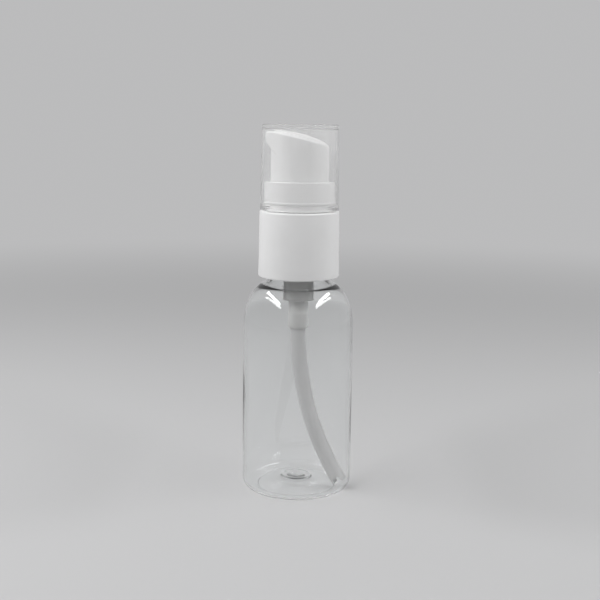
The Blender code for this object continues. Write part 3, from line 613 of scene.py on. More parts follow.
def inner_line():
    """From the middle of the base, up the inside, to the mouth."""
    inner_heel = HEEL_R - BOTTLE_WALL
    points = []
    for step in range(3 * DOME_STEPS + 1):
        r = ring_in * step / (3 * DOME_STEPS)
        points.append((r, dome(r) + BOTTLE_WALL + base_marks(r)))
    points += arc(heel, (inner_heel, inner_heel), -90, 0, HEEL_STEPS)
    for degrees in range(0, 75, 3):
        angle = math.radians(degrees)
        growth = SHOULDER_GROWTH * max((degrees - GROWTH_START) / GROWTH_SPAN, 0.0) ** 2
        r = shoulder[0] + (shoulder_r - BOTTLE_WALL - growth) * math.cos(angle)
        rise = (SHOULDER_RISE - BOTTLE_WALL - growth) * math.sin(angle)
        points.append((r, BODY_HEIGHT + rise))
    points += sweep_into_neck(points[-2:], NECK_R - NECK_WALL, 2.3 * MM)[1:]
    points.append((NECK_R - NECK_WALL, mouth_z))
    return points


def outer_line():
    """From the mouth's edge, down the outside, to the button in the middle of the base."""
    rising = arc(shoulder, (shoulder_r, SHOULDER_RISE), 0, 74, 26)
    rising += sweep_into_neck(rising[-2:], NECK_R, 1.5 * MM)[1:]
    points = [(NECK_R - LIP_EDGE, mouth_z), (NECK_R, mouth_z - LIP_EDGE)]
    points += rising[::-1]
    points += arc(heel, (HEEL_R, HEEL_R), 0, -90, HEEL_STEPS)
    for step in range(DOME_STEPS + 1):
        r = ring_in + (GATE_R - ring_in) * step / DOME_STEPS
        points.append((r, dome(r)))
    gate_foot = PUSH_UP - GATE_H
    points.append((GATE_R - 0.4 * MM, gate_foot + 0.3 * MM))
    points.append((GATE_R - 1.0 * MM, gate_foot))
    points.append((0.0, gate_foot))
    return points


bottle = spun("clear_bottle", inner_line() + outer_line(), ring=False, sides=CLEAR_SIDES)
ease_edges(bottle, 0.12 * MM)
print("bottle turned:", len(bottle.data.vertices), "points")

# %% [markdown]
# The long straight side needs points along its height before it can wander, so it is
# subdivided first. Slow waves round and up the wall then move only the inner skin, and fade
# out at the heel, where the dip tube leans on it.

# %% Let the inner wall wander
WANDER = 0.06 * MM
WANDER_FADE = 6 * MM
LEVEL_CUTS = 24


def cut_across(piece, low, high, rows):
    """Level cuts between two heights, as a bandsaw would make them, without removing anything."""
    pick(piece)
    bpy.ops.object.mode_set(mode="EDIT")
    for row in range(rows):
        bpy.ops.mesh.select_all(action="SELECT")
        z = low + (high - low) * (row + 0.5) / rows
        bpy.ops.mesh.bisect(plane_co=(0, 0, z), plane_no=(0, 0, 1))
    bpy.ops.object.mode_set(mode="OBJECT")


def wander(place):
    """How far the inner wall lies from true at one place, -1 to 1: three slow waves."""
    angle = math.atan2(place.y, place.x)
    up = place.z / MM
    return (
        0.5 * math.sin(3 * angle + 0.11 * up)
        + 0.3 * math.sin(5 * angle - 0.17 * up + 1.0)
        + 0.2 * math.sin(2 * angle + 0.31 * up + 2.0)
    )


def outer_radius(z):
    """The outside's radius at a height of the body or the shoulder."""
    up = max((z - BODY_HEIGHT) / SHOULDER_RISE, 0.0)
    return shoulder[0] + shoulder_r * math.sqrt(1 - up * up)


cut_across(bottle, HEEL_R + MM, BODY_HEIGHT - MM, LEVEL_CUTS)
wander_foot = 2 * HEEL_R
for point in bottle.data.vertices:
    r = math.hypot(point.co.x, point.co.y)
    z = point.co.z
    if wander_foot < z < neck_base - 2 * MM and NECK_R < r < outer_radius(z) - BOTTLE_WALL / 2:
        room = min(z - wander_foot, neck_base - z)
        moved = 1 + WANDER * min(1.0, room / WANDER_FADE) * wander(point.co) / r
        point.co.x *= moved
        point.co.y *= moved
print("bottle wall:", len(bottle.data.vertices), "points")

# %% [markdown]
# ## Screw threads
# A thread's section is a small trapezium. It is a plane with its face removed, so that only
# the outline is left, and a Screw modifier carries it round and up by the pitch. Real threads
# run out at both ends, so the first and last stretch of the ridge sinks back into the wall.
# The same function makes the bottle's thread and the closure's.

# %% Wind a thread
PITCH = 3.175 * MM
TURNS = 1.5
THREAD_ROOT = 1.5 * MM
THREAD_CREST = 0.8 * MM
THREAD_START = 6.6 * MM
RUN_OUT = 1 / 14
RUN_OUT_HEIGHT = 0.12
CORNERS = 4


def thread_ridge(name, root_r, crest_r, start_z):
    """A ridge from the root's radius to the crest's, which may lie further in or further out."""
    bpy.ops.object.select_all(action="DESELECT")
    bpy.ops.mesh.primitive_plane_add(size=MM, location=(0, 0, 0))
    ridge = start_from(name)
    bpy.ops.object.mode_set(mode="EDIT")
    bpy.ops.mesh.delete(type="ONLY_FACE")
    bpy.ops.object.mode_set(mode="OBJECT")
    for point in ridge.data.vertices:
        root = point.co.x < 0
        width = THREAD_ROOT if root else THREAD_CREST
        side = 1 if point.co.y > 0 else -1
        point.co = (root_r if root else crest_r, 0, side * width / 2)
    steps = round(TURNS * SIDES)
    use(
        ridge, "SCREW", axis="Z", angle=math.tau * TURNS, screw_offset=PITCH * TURNS,
        steps=steps, render_steps=steps, use_merge_vertices=False,
    )
    for index, point in enumerate(ridge.data.vertices):
        ring = index // CORNERS
        near_end = min(ring, steps - ring) / (steps * RUN_OUT)
        height = RUN_OUT_HEIGHT + (1 - RUN_OUT_HEIGHT) * min(1.0, near_end)
        r = math.hypot(point.co.x, point.co.y)
        moved = (root_r + (r - root_r) * height) / r
        point.co.x *= moved
        point.co.y *= moved
        point.co.z += start_z
    pick(ridge)
    bpy.ops.object.mode_set(mode="EDIT")
    bpy.ops.mesh.select_all(action="SELECT")
    bpy.ops.mesh.fill_holes(sides=CORNERS)
    weld()
    bpy.ops.object.mode_set(mode="OBJECT")
    return ridge


THREAD_DEPTH = 1.05 * MM
ROOT_SINK = 0.2 * MM
neck_thread = thread_ridge(
    "neck_thread", NECK_R - ROOT_SINK, NECK_R + THREAD_DEPTH, mouth_z - THREAD_START
)
join_or_cut(bottle, [neck_thread], "UNION")
hand_over(bottle, CLEAR_PET, "bottle_body", "bottle")

# %% [markdown]
# ## The closure
# A smooth skirt with a rounded shoulder, a plate across its top with a hole for the pump, and
# a thread inside that runs just below the bottle's. The lead-in at its foot helps it find the
# neck. The outline goes once round the section, so it closes on itself.

# %% Turn the closure
CLOSURE_DRAFT = 0.3 * MM
CLOSURE_WALL = 1.75 * MM
CLOSURE_PLATE = 1.2 * MM
CLOSURE_EDGE = 0.5 * MM
PLATE_HOLE_R = 6.4 * MM
LEAD_IN = 0.5 * MM
closure_r, closure_foot, closure_top = size_of("closure")
closure_bore = closure_r - CLOSURE_DRAFT - CLOSURE_WALL
closure = spun("screw_closure", rounded([
    (PLATE_HOLE_R, closure_top),
    (closure_r - CLOSURE_DRAFT, closure_top, CLOSURE_EDGE),
    (closure_r, closure_foot, CLOSURE_EDGE),
    (closure_bore + LEAD_IN, closure_foot),
    (closure_bore, closure_foot + LEAD_IN),
    (closure_bore, closure_top - CLOSURE_PLATE),
    (PLATE_HOLE_R, closure_top - CLOSURE_PLATE),
]))
ease_edges(closure, 0.10 * MM)
THREAD_OVERLAP = 0.5 * MM
below = (THREAD_ROOT + THREAD_CREST) / 2 + 0.3 * MM
closure_thread = thread_ridge(
    "closure_thread", closure_bore + ROOT_SINK, NECK_R + THREAD_DEPTH - THREAD_OVERLAP,
    mouth_z - THREAD_START - below,
)
join_or_cut(closure, [closure_thread], "UNION")
hand_over(closure, WHITE_PLASTIC, "closure_ring", "closure")

# %% [markdown]
# ## The guide collar
# The ring that the actuator slides in. Its bright top edge, the bead that holds the overcap
# and the groove under it are what the eye finds here, so each has its own rounding. The inner
# sleeve snaps over the housing's mouth.

# %% Turn the guide collar
COLLAR_WALL = 1.47 * MM
COLLAR_BEAD = 0.3 * MM
COLLAR_GROOVE = 0.1 * MM
COLLAR_BEAD_Z = 2.4 * MM
COLLAR_FLOOR = 1.0 * MM
SLEEVE_WALL = 0.73 * MM
TOWER_R = 5.6 * MM
TOWER_H = 4.6 * MM
SNAP = 0.5 * MM
PLAY = 0.2 * MM
bead_r, collar_foot, collar_top = size_of("guide_collar")
_, socket_foot, tower_top = size_of("housing")
rim_r = bead_r - COLLAR_BEAD
groove_r = rim_r - COLLAR_GROOVE
collar_bore = rim_r - COLLAR_WALL
bead_z = collar_foot + COLLAR_BEAD_Z
catch_z = tower_top - 2 * SNAP - 0.3 * MM
sleeve_top = tower_top + 0.3 * MM
sleeve_r = PLATE_HOLE_R + SLEEVE_WALL
collar = spun("guide_ring", rounded([
    (rim_r, collar_top, 0.35 * MM),
    (rim_r + 0.04 * MM, bead_z + 0.32 * MM, 0.06 * MM),
    (bead_r, bead_z + 0.24 * MM, 0.12 * MM),
    (bead_r, bead_z - 0.16 * MM, 0.16 * MM),
    (groove_r, bead_z - 0.6 * MM, 0.12 * MM),
    (groove_r, collar_foot + 0.5 * MM, 0.12 * MM),
    (bead_r, collar_foot),
    (PLATE_HOLE_R, collar_foot),
    (PLATE_HOLE_R, catch_z - 1.2 * SNAP),
    (TOWER_R + PLAY, catch_z - 0.4 * SNAP),
    (TOWER_R + PLAY, catch_z),
    (PLATE_HOLE_R, catch_z),
    (PLATE_HOLE_R, sleeve_top),
    (sleeve_r, sleeve_top),
    (sleeve_r, collar_foot + COLLAR_FLOOR),
    (collar_bore, collar_foot + COLLAR_FLOOR),
    (collar_bore, collar_top, 0.2 * MM),
], 5))
ease_edges(collar, 0.06 * MM)
hand_over(collar, WHITE_PLASTIC, "pump", "guide_collar")

# %% [markdown]
# ## The pump housing
# The barrel shows through the bottle's shoulder as a milky cylinder with a small lip at its
# foot, a narrower throat with the ball in it, and a socket that grips the dip tube. Four
# short ribs over the throat keep the ball under the spring.

# %% Turn the housing
FINE_SIDES = 96
FLANGE_THICK = 1.2 * MM
BARREL_BORE = 3.6 * MM
BARREL_WALL = 1.0 * MM
BARREL_LENGTH = 24.0 * MM
THROAT_R = 3.0 * MM
THROAT_LENGTH = 4.4 * MM
SOCKET_WALL = 0.62 * MM
TUBE_R = 2.335 * MM
LEDGE = 1.3 * MM
BALL_R = 1.6 * MM
BALL_CHAMBER = 2.0 * MM
INLET_R = 1.1 * MM
SEAT = 0.3 * MM
LIP = 0.15 * MM
GUIDE_NOSE = 1.6 * MM
guide_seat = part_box("stem_guide")[0].z + GUIDE_NOSE
flange_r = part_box("neck_gasket")[1].x
flange_top = tower_top - TOWER_H
flange_foot = flange_top - FLANGE_THICK
barrel_foot = flange_foot - BARREL_LENGTH
throat_foot = barrel_foot - THROAT_LENGTH
ledge_z = barrel_foot + LEDGE
inlet_z = throat_foot + SEAT + 0.8 * MM
housing_r = BARREL_BORE + BARREL_WALL
tower_bore = TOWER_R - 0.9 * MM
socket_bore = TUBE_R + PLAY
housing = spun("pump_housing", rounded([
    (tower_bore, tower_top),
    (TOWER_R, tower_top),
    (TOWER_R + SNAP, tower_top - 0.6 * SNAP, 0.1 * MM),
    (TOWER_R + SNAP, tower_top - 1.2 * SNAP, 0.1 * MM),
    (TOWER_R, tower_top - 2 * SNAP),
    (TOWER_R, flange_top),
    (flange_r, flange_top, 0.2 * MM),
    (flange_r, flange_foot, 0.2 * MM),
    (housing_r, flange_foot),
    (housing_r, barrel_foot + 4 * LIP),
    (housing_r + LIP, barrel_foot + 3 * LIP),
    (housing_r + LIP, barrel_foot, 0.2 * MM),
    (THROAT_R, barrel_foot),
    (THROAT_R, throat_foot),
    (socket_bore + SOCKET_WALL, throat_foot, 0.08 * MM),
    (socket_bore + SOCKET_WALL, socket_foot, 0.25 * MM),
    (socket_bore, socket_foot),
    (socket_bore, throat_foot),
    (INLET_R, throat_foot),
    (INLET_R, inlet_z),
    (BALL_CHAMBER, inlet_z + 1.0 * MM),
    (BALL_CHAMBER, ledge_z),
    (BARREL_BORE, ledge_z, 0.2 * MM),
    (BARREL_BORE, guide_seat - SEAT),
    (tower_bore, guide_seat - SEAT),
], 4), sides=FINE_SIDES)
ease_edges(housing, 0.06 * MM)
print("housing turned:", round((tower_top - socket_foot) / MM, 1), "mm long")

# %% [markdown]
# The ribs over the ball are small blocks. One is described, and a loop sets it down at each
# quarter of the throat, sunk a little into the wall so that the union has something to bite.

# %% Add the four ribs over the ball
RIB_REACH = 0.8 * MM
RIB_WIDTH = 0.6 * MM
RIB_HEIGHT = 0.5 * MM
RIB_SINK = 0.2 * MM
RIB_DROP = 0.35 * MM
ribs = []
for quarter in range(4):
    angle = quarter * math.tau / 4
    middle = BALL_CHAMBER - RIB_REACH / 2 + RIB_SINK / 2
    bpy.ops.mesh.primitive_cube_add(
        size=1.0, rotation=(0, 0, angle), scale=(RIB_REACH + RIB_SINK, RIB_WIDTH, RIB_HEIGHT),
        location=(middle * math.cos(angle), middle * math.sin(angle), ledge_z - RIB_DROP),
    )
    ribs.append(ease_edges(start_from(f"ball_rib_{quarter}"), 0.08 * MM))
join_or_cut(housing, ribs, "UNION")
hand_over(housing, NATURAL_PLASTIC, "pump", "housing")

# %% [markdown]
# ## The dip tube
# An extruded tube, pushed up into the socket and cut long, so that it has to bend to stand in
# the bottle. Its foot is cut with a round notch that keeps it from sealing against the base.
# Here a ring is extruded straight down, then spun about the bend's own centre, and Solidify
# gives the wall. The bend turns towards the right and a little forward.

# %% Bend the dip tube
TUBE_WALL = 0.635 * MM
TUBE_STRAIGHT = 0.5 * MM
TUBE_AZIMUTH = math.radians(-17.0)
TUBE_LEAN = math.radians(33.0)
NOTCH_R = 1.25 * MM
NOTCH_DEPTH = 1.8 * MM


def bend_the_tube():
    """The bend's radius and sweep, from the socket to where the foot meets the wall."""
    foot_r = bottle_r - BOTTLE_WALL - TUBE_R
    foot_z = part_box("dip_tube")[0].z + TUBE_R * math.sin(TUBE_LEAN)
    drop = socket_foot - TUBE_STRAIGHT - foot_z
    radius = (foot_r ** 2 + drop ** 2) / (2 * foot_r)
    return radius, math.asin(drop / radius), foot_r, foot_z


bend_r, sweep, foot_r, foot_z = bend_the_tube()
out = Vector((math.cos(TUBE_AZIMUTH), math.sin(TUBE_AZIMUTH), 0))
across = Vector((-out.y, out.x, 0))
tube_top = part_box("dip_tube")[1].z
bend_z = socket_foot - TUBE_STRAIGHT
bpy.ops.object.select_all(action="DESELECT")
bpy.ops.mesh.primitive_circle_add(vertices=48, radius=TUBE_R, location=(0, 0, tube_top))
tube = start_from("milky_dip_tube")
bpy.ops.object.mode_set(mode="EDIT")
for step in range(4):
    bpy.ops.mesh.extrude_region_move(
        TRANSFORM_OT_translate={"value": (0, 0, (bend_z - tube_top) / 4)}
    )
centre = out * bend_r + Vector((0, 0, bend_z))
bpy.ops.mesh.spin(steps=56, angle=sweep, center=centre, axis=across)
weld()
bpy.ops.object.mode_set(mode="OBJECT")
use(tube, "SOLIDIFY", thickness=TUBE_WALL, offset=-1.0, use_even_offset=True)
ease_edges(tube, 0.05 * MM)
print("tube bent by", round(math.degrees(sweep), 1), "degrees")

# %% [markdown]
# The notch is cut last, by a round bar that lies across the foot, because only now is it known
# which way the tube's end points.

# %% Cut the notch
heading = (out * math.sin(sweep) - Vector((0, 0, math.cos(sweep)))).normalized()
foot = out * foot_r + Vector((0, 0, foot_z))
notch_middle = foot - heading * (NOTCH_DEPTH - NOTCH_R)
bpy.ops.object.select_all(action="DESELECT")
bpy.ops.mesh.primitive_cylinder_add(
    vertices=64, radius=NOTCH_R, depth=4 * TUBE_R, location=notch_middle,
    rotation=across.to_track_quat("Z", "Y").to_euler(),
)
join_or_cut(tube, [start_from("notch_cutter")], "DIFFERENCE")
hand_over(tube, MILKY_TUBE, "pump", "dip_tube")
lowest = min(point.co.z for point in tube.data.vertices)
print("tube foot:", round(lowest / MM, 2), "mm over the surface")

# %% [markdown]
# ## The ball
# The pieces inside the pump hardly show, but it would not work without them. A steel ball
# closes the inlet when the head is pressed. A ball could be a UV sphere, but its faces crowd at
# the poles. A subdivided cube, swollen into a sphere, has faces of nearly one size.

# %% Make the ball
bpy.ops.object.select_all(action="DESELECT")
ball_low, ball_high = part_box("inlet_ball")
ball_middle = (ball_low + ball_high) / 2
bpy.ops.mesh.primitive_cube_add(size=2 * BALL_R, location=ball_middle)
ball = start_from("steel_ball")
bpy.ops.object.mode_set(mode="EDIT")
bpy.ops.mesh.subdivide(number_cuts=15)
bpy.ops.transform.tosphere(value=1.0)
bpy.ops.object.mode_set(mode="OBJECT")
for point in ball.data.vertices:
    point.co = ball_middle + (point.co - ball_middle).normalized() * BALL_R
hand_over(ball, STEEL, "ball", "inlet_ball", crease=60)

# %% [markdown]
# ## The spring
# It lifts the stem after each stroke. Its first and last turns lie nearly flat, because the
# real ends are closed to give the spring a level seat. A Screw modifier winds the wire's
# circle round at one height, and each ring of points is then raised to its own height. The
# spring stands on the pump's ledge. In use it squashes as the head goes down; here it is built at
# rest, and only its pressed length is worked out.

# %% Wind the spring
WIRE_R = 0.3 * MM
SPRING_TURNS = 7.5
RINGS_PER_TURN = 36
CLOSED_TURN = 2.2 * WIRE_R
spring_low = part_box("return_spring")[0].z + WIRE_R
spring_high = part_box("return_spring")[1].z - WIRE_R
spring_r = BARREL_BORE - 0.3 * MM - 2 * WIRE_R


def spring_height(turn):
    """Height of the wire's middle: the first and last turn lie nearly flat on their seats."""
    last = SPRING_TURNS - turn
    if turn < 1:
        return spring_low + CLOSED_TURN * turn
    if last < 1:
        return spring_high - CLOSED_TURN * last
    open_height = spring_high - spring_low - 2 * CLOSED_TURN
    return spring_low + CLOSED_TURN + open_height * (turn - 1) / (SPRING_TURNS - 2)


WIRE_SIDES = 14
bpy.ops.object.select_all(action="DESELECT")
bpy.ops.mesh.primitive_circle_add(
    vertices=WIRE_SIDES, radius=WIRE_R, location=(spring_r, 0, spring_low),
    rotation=(math.pi / 2, 0, 0),
)
spring = start_from("steel_spring")
rings = round(SPRING_TURNS * RINGS_PER_TURN)
use(
    spring, "SCREW", axis="Z", angle=math.tau * SPRING_TURNS, screw_offset=0.0,
    steps=rings, render_steps=rings, use_merge_vertices=False,
)
for index, point in enumerate(spring.data.vertices):
    point.co.z += spring_height(index // WIRE_SIDES / RINGS_PER_TURN) - spring_low
bpy.ops.object.mode_set(mode="EDIT")
bpy.ops.mesh.select_all(action="SELECT")
bpy.ops.mesh.fill_holes(sides=0)
bpy.ops.mesh.select_all(action="SELECT")
bpy.ops.mesh.normals_make_consistent(inside=False)
bpy.ops.object.mode_set(mode="OBJECT")
hand_over(spring, STEEL, "pump", "return_spring", crease=60)
STROKE = 5.5 * MM
spring_foot = spring_low - WIRE_R
spring_length = spring_high + WIRE_R - spring_foot
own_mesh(spring)
pressed = spring_length - STROKE
print("spring:", round(spring_length / MM, 1), "mm, pressed to", round(pressed / MM, 1))

# %% [markdown]
# ## The gasket
# A soft washer between the bottle's mouth and the housing's flange. The closure squeezes it,
# so its edges are rounded.

# %% Turn the gasket
GASKET_HOLE = housing_r + 0.3 * MM
gasket_r, gasket_low, gasket_top = size_of("neck_gasket")
gasket = spun("sealing_gasket", rounded([
    (GASKET_HOLE, gasket_top, 0.15 * MM),
    (gasket_r, gasket_top, 0.15 * MM),
    (gasket_r, gasket_low, 0.15 * MM),
    (GASKET_HOLE, gasket_low, 0.15 * MM),
], 3), sides=FINE_SIDES)
hand_over(gasket, SOFT_SEAL, "pump", "neck_gasket")

# %% [markdown]
# ## The stem guide
# A plug that closes the housing's mouth. The stem slides through its bore, its flange rests on
# the mouth, and its nose stops the piston at the top of the stroke.

# %% Turn the stem guide
STEM_R = 2.4 * MM
guide_r, guide_nose, guide_top = size_of("stem_guide")
guide_flange = guide_top - 0.7 * MM
guide_bore = STEM_R + 0.3 * MM
guide_body = tower_bore - PLAY
nose_r = BARREL_BORE - PLAY
guide = spun("stem_bushing", rounded([
    (guide_bore, guide_top, 0.15 * MM),
    (guide_r, guide_top, 0.3 * MM),
    (guide_r, guide_flange),
    (guide_body, guide_flange),
    (guide_body, guide_seat),
    (nose_r, guide_seat),
    (nose_r, guide_nose),
    (guide_bore, guide_nose, 0.15 * MM),
], 3), sides=FINE_SIDES)
ease_edges(guide, 0.05 * MM)
hand_over(guide, NATURAL_PLASTIC, "pump", "stem_guide")

# %% [markdown]
# ## The piston
# A hub that slides on the stem's spigot, a thin web, and a skirt that flares into a soft lip at
# either end. Only the lips touch the barrel. The skirt is waisted between them, which is what
# the large fillets in its outline are for.

# %% Turn the piston
SPIGOT_R = STEM_R - 0.8 * MM
PISTON_WALL = 0.5 * MM
HUB_HEIGHT = 3.4 * MM
LIP_HEIGHT = 1.2 * MM
WEB_THICK = 0.9 * MM
PISTON_WAIST = 0.2 * MM
piston_r, piston_low, piston_top = size_of("piston")
hub_in = SPIGOT_R + PLAY
hub_out = hub_in + PISTON_WALL
hub_top = piston_low + HUB_HEIGHT
skirt = piston_r - PISTON_WALL
web_low = piston_low + LIP_HEIGHT
web_high = web_low + WEB_THICK
piston = spun("lipped_piston", rounded([
    (hub_in, hub_top),
    (hub_out, hub_top),
    (hub_out, web_high, 0.15 * MM),
    (skirt - PISTON_WAIST, web_high, 0.15 * MM),
    (skirt + 0.1 * MM, piston_top),
    (piston_r, piston_top),
    (piston_r - PISTON_WAIST, piston_top - LIP_HEIGHT, 1.0 * MM),
    (piston_r - PISTON_WAIST, piston_low + LIP_HEIGHT, 1.0 * MM),
    (piston_r, piston_low),
    (skirt + 0.1 * MM, piston_low),
    (skirt - PISTON_WAIST, web_low, 0.15 * MM),
    (hub_out, web_low, 0.15 * MM),
    (hub_out, piston_low),
    (hub_in, piston_low),
], 3), sides=FINE_SIDES)
hand_over(piston, SOFT_SEAL, "piston_seal", "piston")

# %% [markdown]
# ## The rod and the stem
# The stem is a tube that carries the head, with a narrower spigot for the piston. A solid rod
# is pressed up into the spigot. Its head holds the piston on, and takes the spring's push. The
# rod's outline begins and ends on the axis, and the stem's closes on itself.

# %% Turn the rod
NARROW_SIDES = 72
ROD_SHANK_R = 0.8 * MM
rod_head_r, rod_low, rod_top = size_of("piston_rod")
rod_head_top = rod_low + 0.8 * MM
rod = spun("piston_carrier", rounded([
    (0.0, rod_top),
    (ROD_SHANK_R, rod_top, 0.3 * MM),
    (ROD_SHANK_R, rod_head_top, 0.2 * MM),
    (rod_head_r, rod_head_top, 0.12 * MM),
    (rod_head_r, rod_low, 0.12 * MM),
    (0.0, rod_low),
], 3), ring=False, sides=NARROW_SIDES)
hand_over(rod, NATURAL_PLASTIC, "stem", "piston_rod")

# %% Turn the stem
STEM_BORE = 1.2 * MM
_, spigot_low, stem_top = size_of("main_stem")
shoulder_z = spigot_low + 4.0 * MM
rod_bore = ROD_SHANK_R + PLAY
stem = spun("hollow_stem", rounded([
    (STEM_BORE, stem_top),
    (STEM_R, stem_top, 0.25 * MM),
    (STEM_R, shoulder_z, 0.1 * MM),
    (SPIGOT_R, shoulder_z),
    (SPIGOT_R, spigot_low, 0.15 * MM),
    (rod_bore, spigot_low),
    (rod_bore, shoulder_z + 0.5 * MM),
    (STEM_BORE, shoulder_z + 1.0 * MM),
], 3), sides=NARROW_SIDES)
ease_edges(stem, 0.05 * MM)
hand_over(stem, NATURAL_PLASTIC, "stem", "main_stem")

# %% [markdown]
# ## The actuator
# The head that a finger presses is one white moulding: a slightly tapered skirt, a crowned
# top with a finger pad a step higher than its rim, and a beak that leaves the round body along
# two tangents, so that no edge shows between them. Such a surface is easier to describe than to
# pull into shape. These functions say how far the wall stands out at a bearing and a height,
# and how high the top is at a place.

# %% Write down the actuator's surface
HEAD_FOOT_R = 8.73 * MM
HEAD_TOP_R = 8.60 * MM
TIP_X = 10.2 * MM
TIP_HALF_WIDTH = 2.4 * MM
CROWN_R = 31.0 * MM
CROWN_OFFSET = 6.8 * MM
TIP_FACE = 3.2 * MM
UNDERSIDE_SLOPE = 2.4 / 1.8
TIP_CORNER = 30
UNDERSIDE_CORNER = 60
HEAD_EDGE = 0.45 * MM
PAD_R = 7.75 * MM
PAD_STEP = 0.24 * MM
PAD_RISE = 0.28 * MM
PAD_HOLLOW = 0.12 * MM
head_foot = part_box("actuator")[0].z
crown_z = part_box("actuator")[1].z
tip_reach = math.hypot(TIP_X, TIP_HALF_WIDTH)
spread = math.atan2(TIP_HALF_WIDTH, TIP_X) + math.acos(HEAD_TOP_R / tip_reach)


def crown_height(x, y):
    """Height of the crowned top: a big ball whose highest point lies towards the nozzle."""
    return crown_z - CROWN_R + math.sqrt(CROWN_R ** 2 - (x + CROWN_OFFSET) ** 2 - y ** 2)


def blend_least(a, b, sharpness):
    """The smaller of two reaches, rounded where they meet."""
    return (a ** -sharpness + b ** -sharpness) ** (-1 / sharpness)


def wall_reach(bearing, z):
    """How far the wall stands from the axis at a bearing and a height."""
    body = HEAD_FOOT_R - (HEAD_FOOT_R - HEAD_TOP_R) * (z - head_foot) / (crown_z - head_foot)
    off = math.pi - abs(bearing)
    if off > spread:
        return body
    beak = blend_least(TIP_X / math.cos(off), HEAD_TOP_R / math.cos(spread - off), TIP_CORNER)
    slope_x = TIP_X - (crown_z - TIP_FACE - z) / UNDERSIDE_SLOPE
    if slope_x < 0.5 * HEAD_TOP_R:
        return body
    return max(body, blend_least(beak, slope_x / math.cos(off), UNDERSIDE_CORNER))


def top_point(bearing, inset):
    """A point on the crown, this far in from the wall."""
    reach = wall_reach(bearing, crown_z - 1.0 * MM) - inset
    return reach * math.cos(bearing), reach * math.sin(bearing)


def pad_drop(r):
    """How far the top lies under the crown: the rim is a step lower than the finger pad."""
    share = min(max((PAD_R - r) / PAD_STEP, 0.0), 1.0)
    hollow = PAD_HOLLOW * max(1 - (r / (PAD_R - PAD_STEP)) ** 2, 0.0)
    return PAD_RISE * (1 - share * share * (3 - 2 * share)) + hollow


print("beak leaves the body at", round(math.degrees(spread), 1), "degrees")

# %% [markdown]
# The outside is laid ring by ring. A circle is extruded, and each new ring's points are moved
# to the wall's or the top's place at their own bearing. Rings go up the skirt, close together
# where the beak begins, round the top edge, across the rim, up the pad's small step and in to
# the middle. One face closes the foot, because only a closed solid can be hollowed out.

# %% Write down the rings
def lay(rule):
    """Extrudes the selected ring and moves each new point to the rule's place at its bearing."""
    bpy.ops.mesh.extrude_region_move()
    shape = bmesh.from_edit_mesh(bpy.context.object.data)
    for point in shape.verts:
        if point.select:
            point.co = rule(math.atan2(point.co.y, point.co.x))
    bmesh.update_edit_mesh(bpy.context.object.data)


def wall_row(share):
    """A ring on the wall, at a share of its height."""
    def rule(bearing):
        edge = crown_height(*top_point(bearing, 0.0)) - PAD_RISE - HEAD_EDGE
        z = head_foot + share * (edge - head_foot)
        reach = wall_reach(bearing, z)
        return reach * math.cos(bearing), reach * math.sin(bearing), z
    return rule


def edge_row(turn):
    """A ring on the rounding between wall and rim, by its angle."""
    def rule(bearing):
        x, y = top_point(bearing, HEAD_EDGE * (1 - math.cos(turn)))
        return x, y, crown_height(x, y) - PAD_RISE - HEAD_EDGE * (1 - math.sin(turn))
    return rule


def rim_row(share):
    """A ring on the flat rim, which goes from the wall's shape to the pad's circle."""
    def rule(bearing):
        x, y = top_point(bearing, HEAD_EDGE)
        reach = math.hypot(x, y) * (1 - share) + PAD_R * share
        x, y = reach * math.cos(bearing), reach * math.sin(bearing)
        return x, y, crown_height(x, y) - PAD_RISE
    return rule


def pad_row(r):
    """A ring on the pad."""
    def rule(bearing):
        x, y = r * math.cos(bearing), r * math.sin(bearing)
        return x, y, crown_height(x, y) - pad_drop(r)
    return rule


# %% Lay the actuator's outside
HEAD_SIDES = 256
wall_shares = [0.1 * step for step in range(1, 7)]
wall_shares += [0.62 + 0.01 * step for step in range(28)]
wall_shares += [0.92, 0.95, 0.98, 1.0]
pad_radii = [PAD_R - PAD_STEP * step / 6 for step in range(1, 7)]
pad_radii += [r * MM for r in (7.2, 6.4, 5.2, 4.0, 2.8, 1.6, 0.6)]
bpy.ops.object.select_all(action="DESELECT")
bpy.ops.mesh.primitive_circle_add(
    vertices=HEAD_SIDES, radius=HEAD_FOOT_R, location=(0, 0, head_foot)
)
actuator = start_from("pressing_head")
bpy.ops.object.mode_set(mode="EDIT")
bpy.ops.mesh.select_all(action="SELECT")
for share in wall_shares:
    lay(wall_row(share))
for step in range(1, 7):
    lay(edge_row(math.radians(15 * step)))
for step in (1, 2, 3):
    lay(rim_row(step / 3))
for r in pad_radii:
    lay(pad_row(r))
bpy.ops.mesh.merge(type="CENTER")
bpy.ops.mesh.select_all(action="DESELECT")
bpy.ops.object.mode_set(mode="OBJECT")
for point in actuator.data.vertices:
    point.select = point.co.z < head_foot + WELD
bpy.ops.object.mode_set(mode="EDIT")
bpy.ops.mesh.edge_face_add()
weld()
bpy.ops.object.mode_set(mode="OBJECT")
print("outside laid:", len(actuator.data.polygons), "faces")

# %% [markdown]
# The inside is cut afterwards. The shell's hollow is a turned cutter whose top is trimmed by a
# big ball, so that the deck under the crown keeps one thickness. The post for the stem and the
# wall of the outlet channel are taken out of the cutter, and so they stay in the head. Then
# come the stem's socket, the riser and the outlet.

# %% Hollow the actuator
HEAD_WALL = 1.3 * MM
DECK = 1.4 * MM
SOCKET_BORE = STEM_R + PLAY
SOCKET_R = SOCKET_BORE + 1.0 * MM
OUTLET_R = 0.9 * MM
CHANNEL_WALL = 0.9 * MM
PAST = 1.0 * MM
outlet_z = crown_z - 2.0 * MM
head_socket_top = stem_top + SEAT
head_socket_foot = stem_top - 5.0 * MM


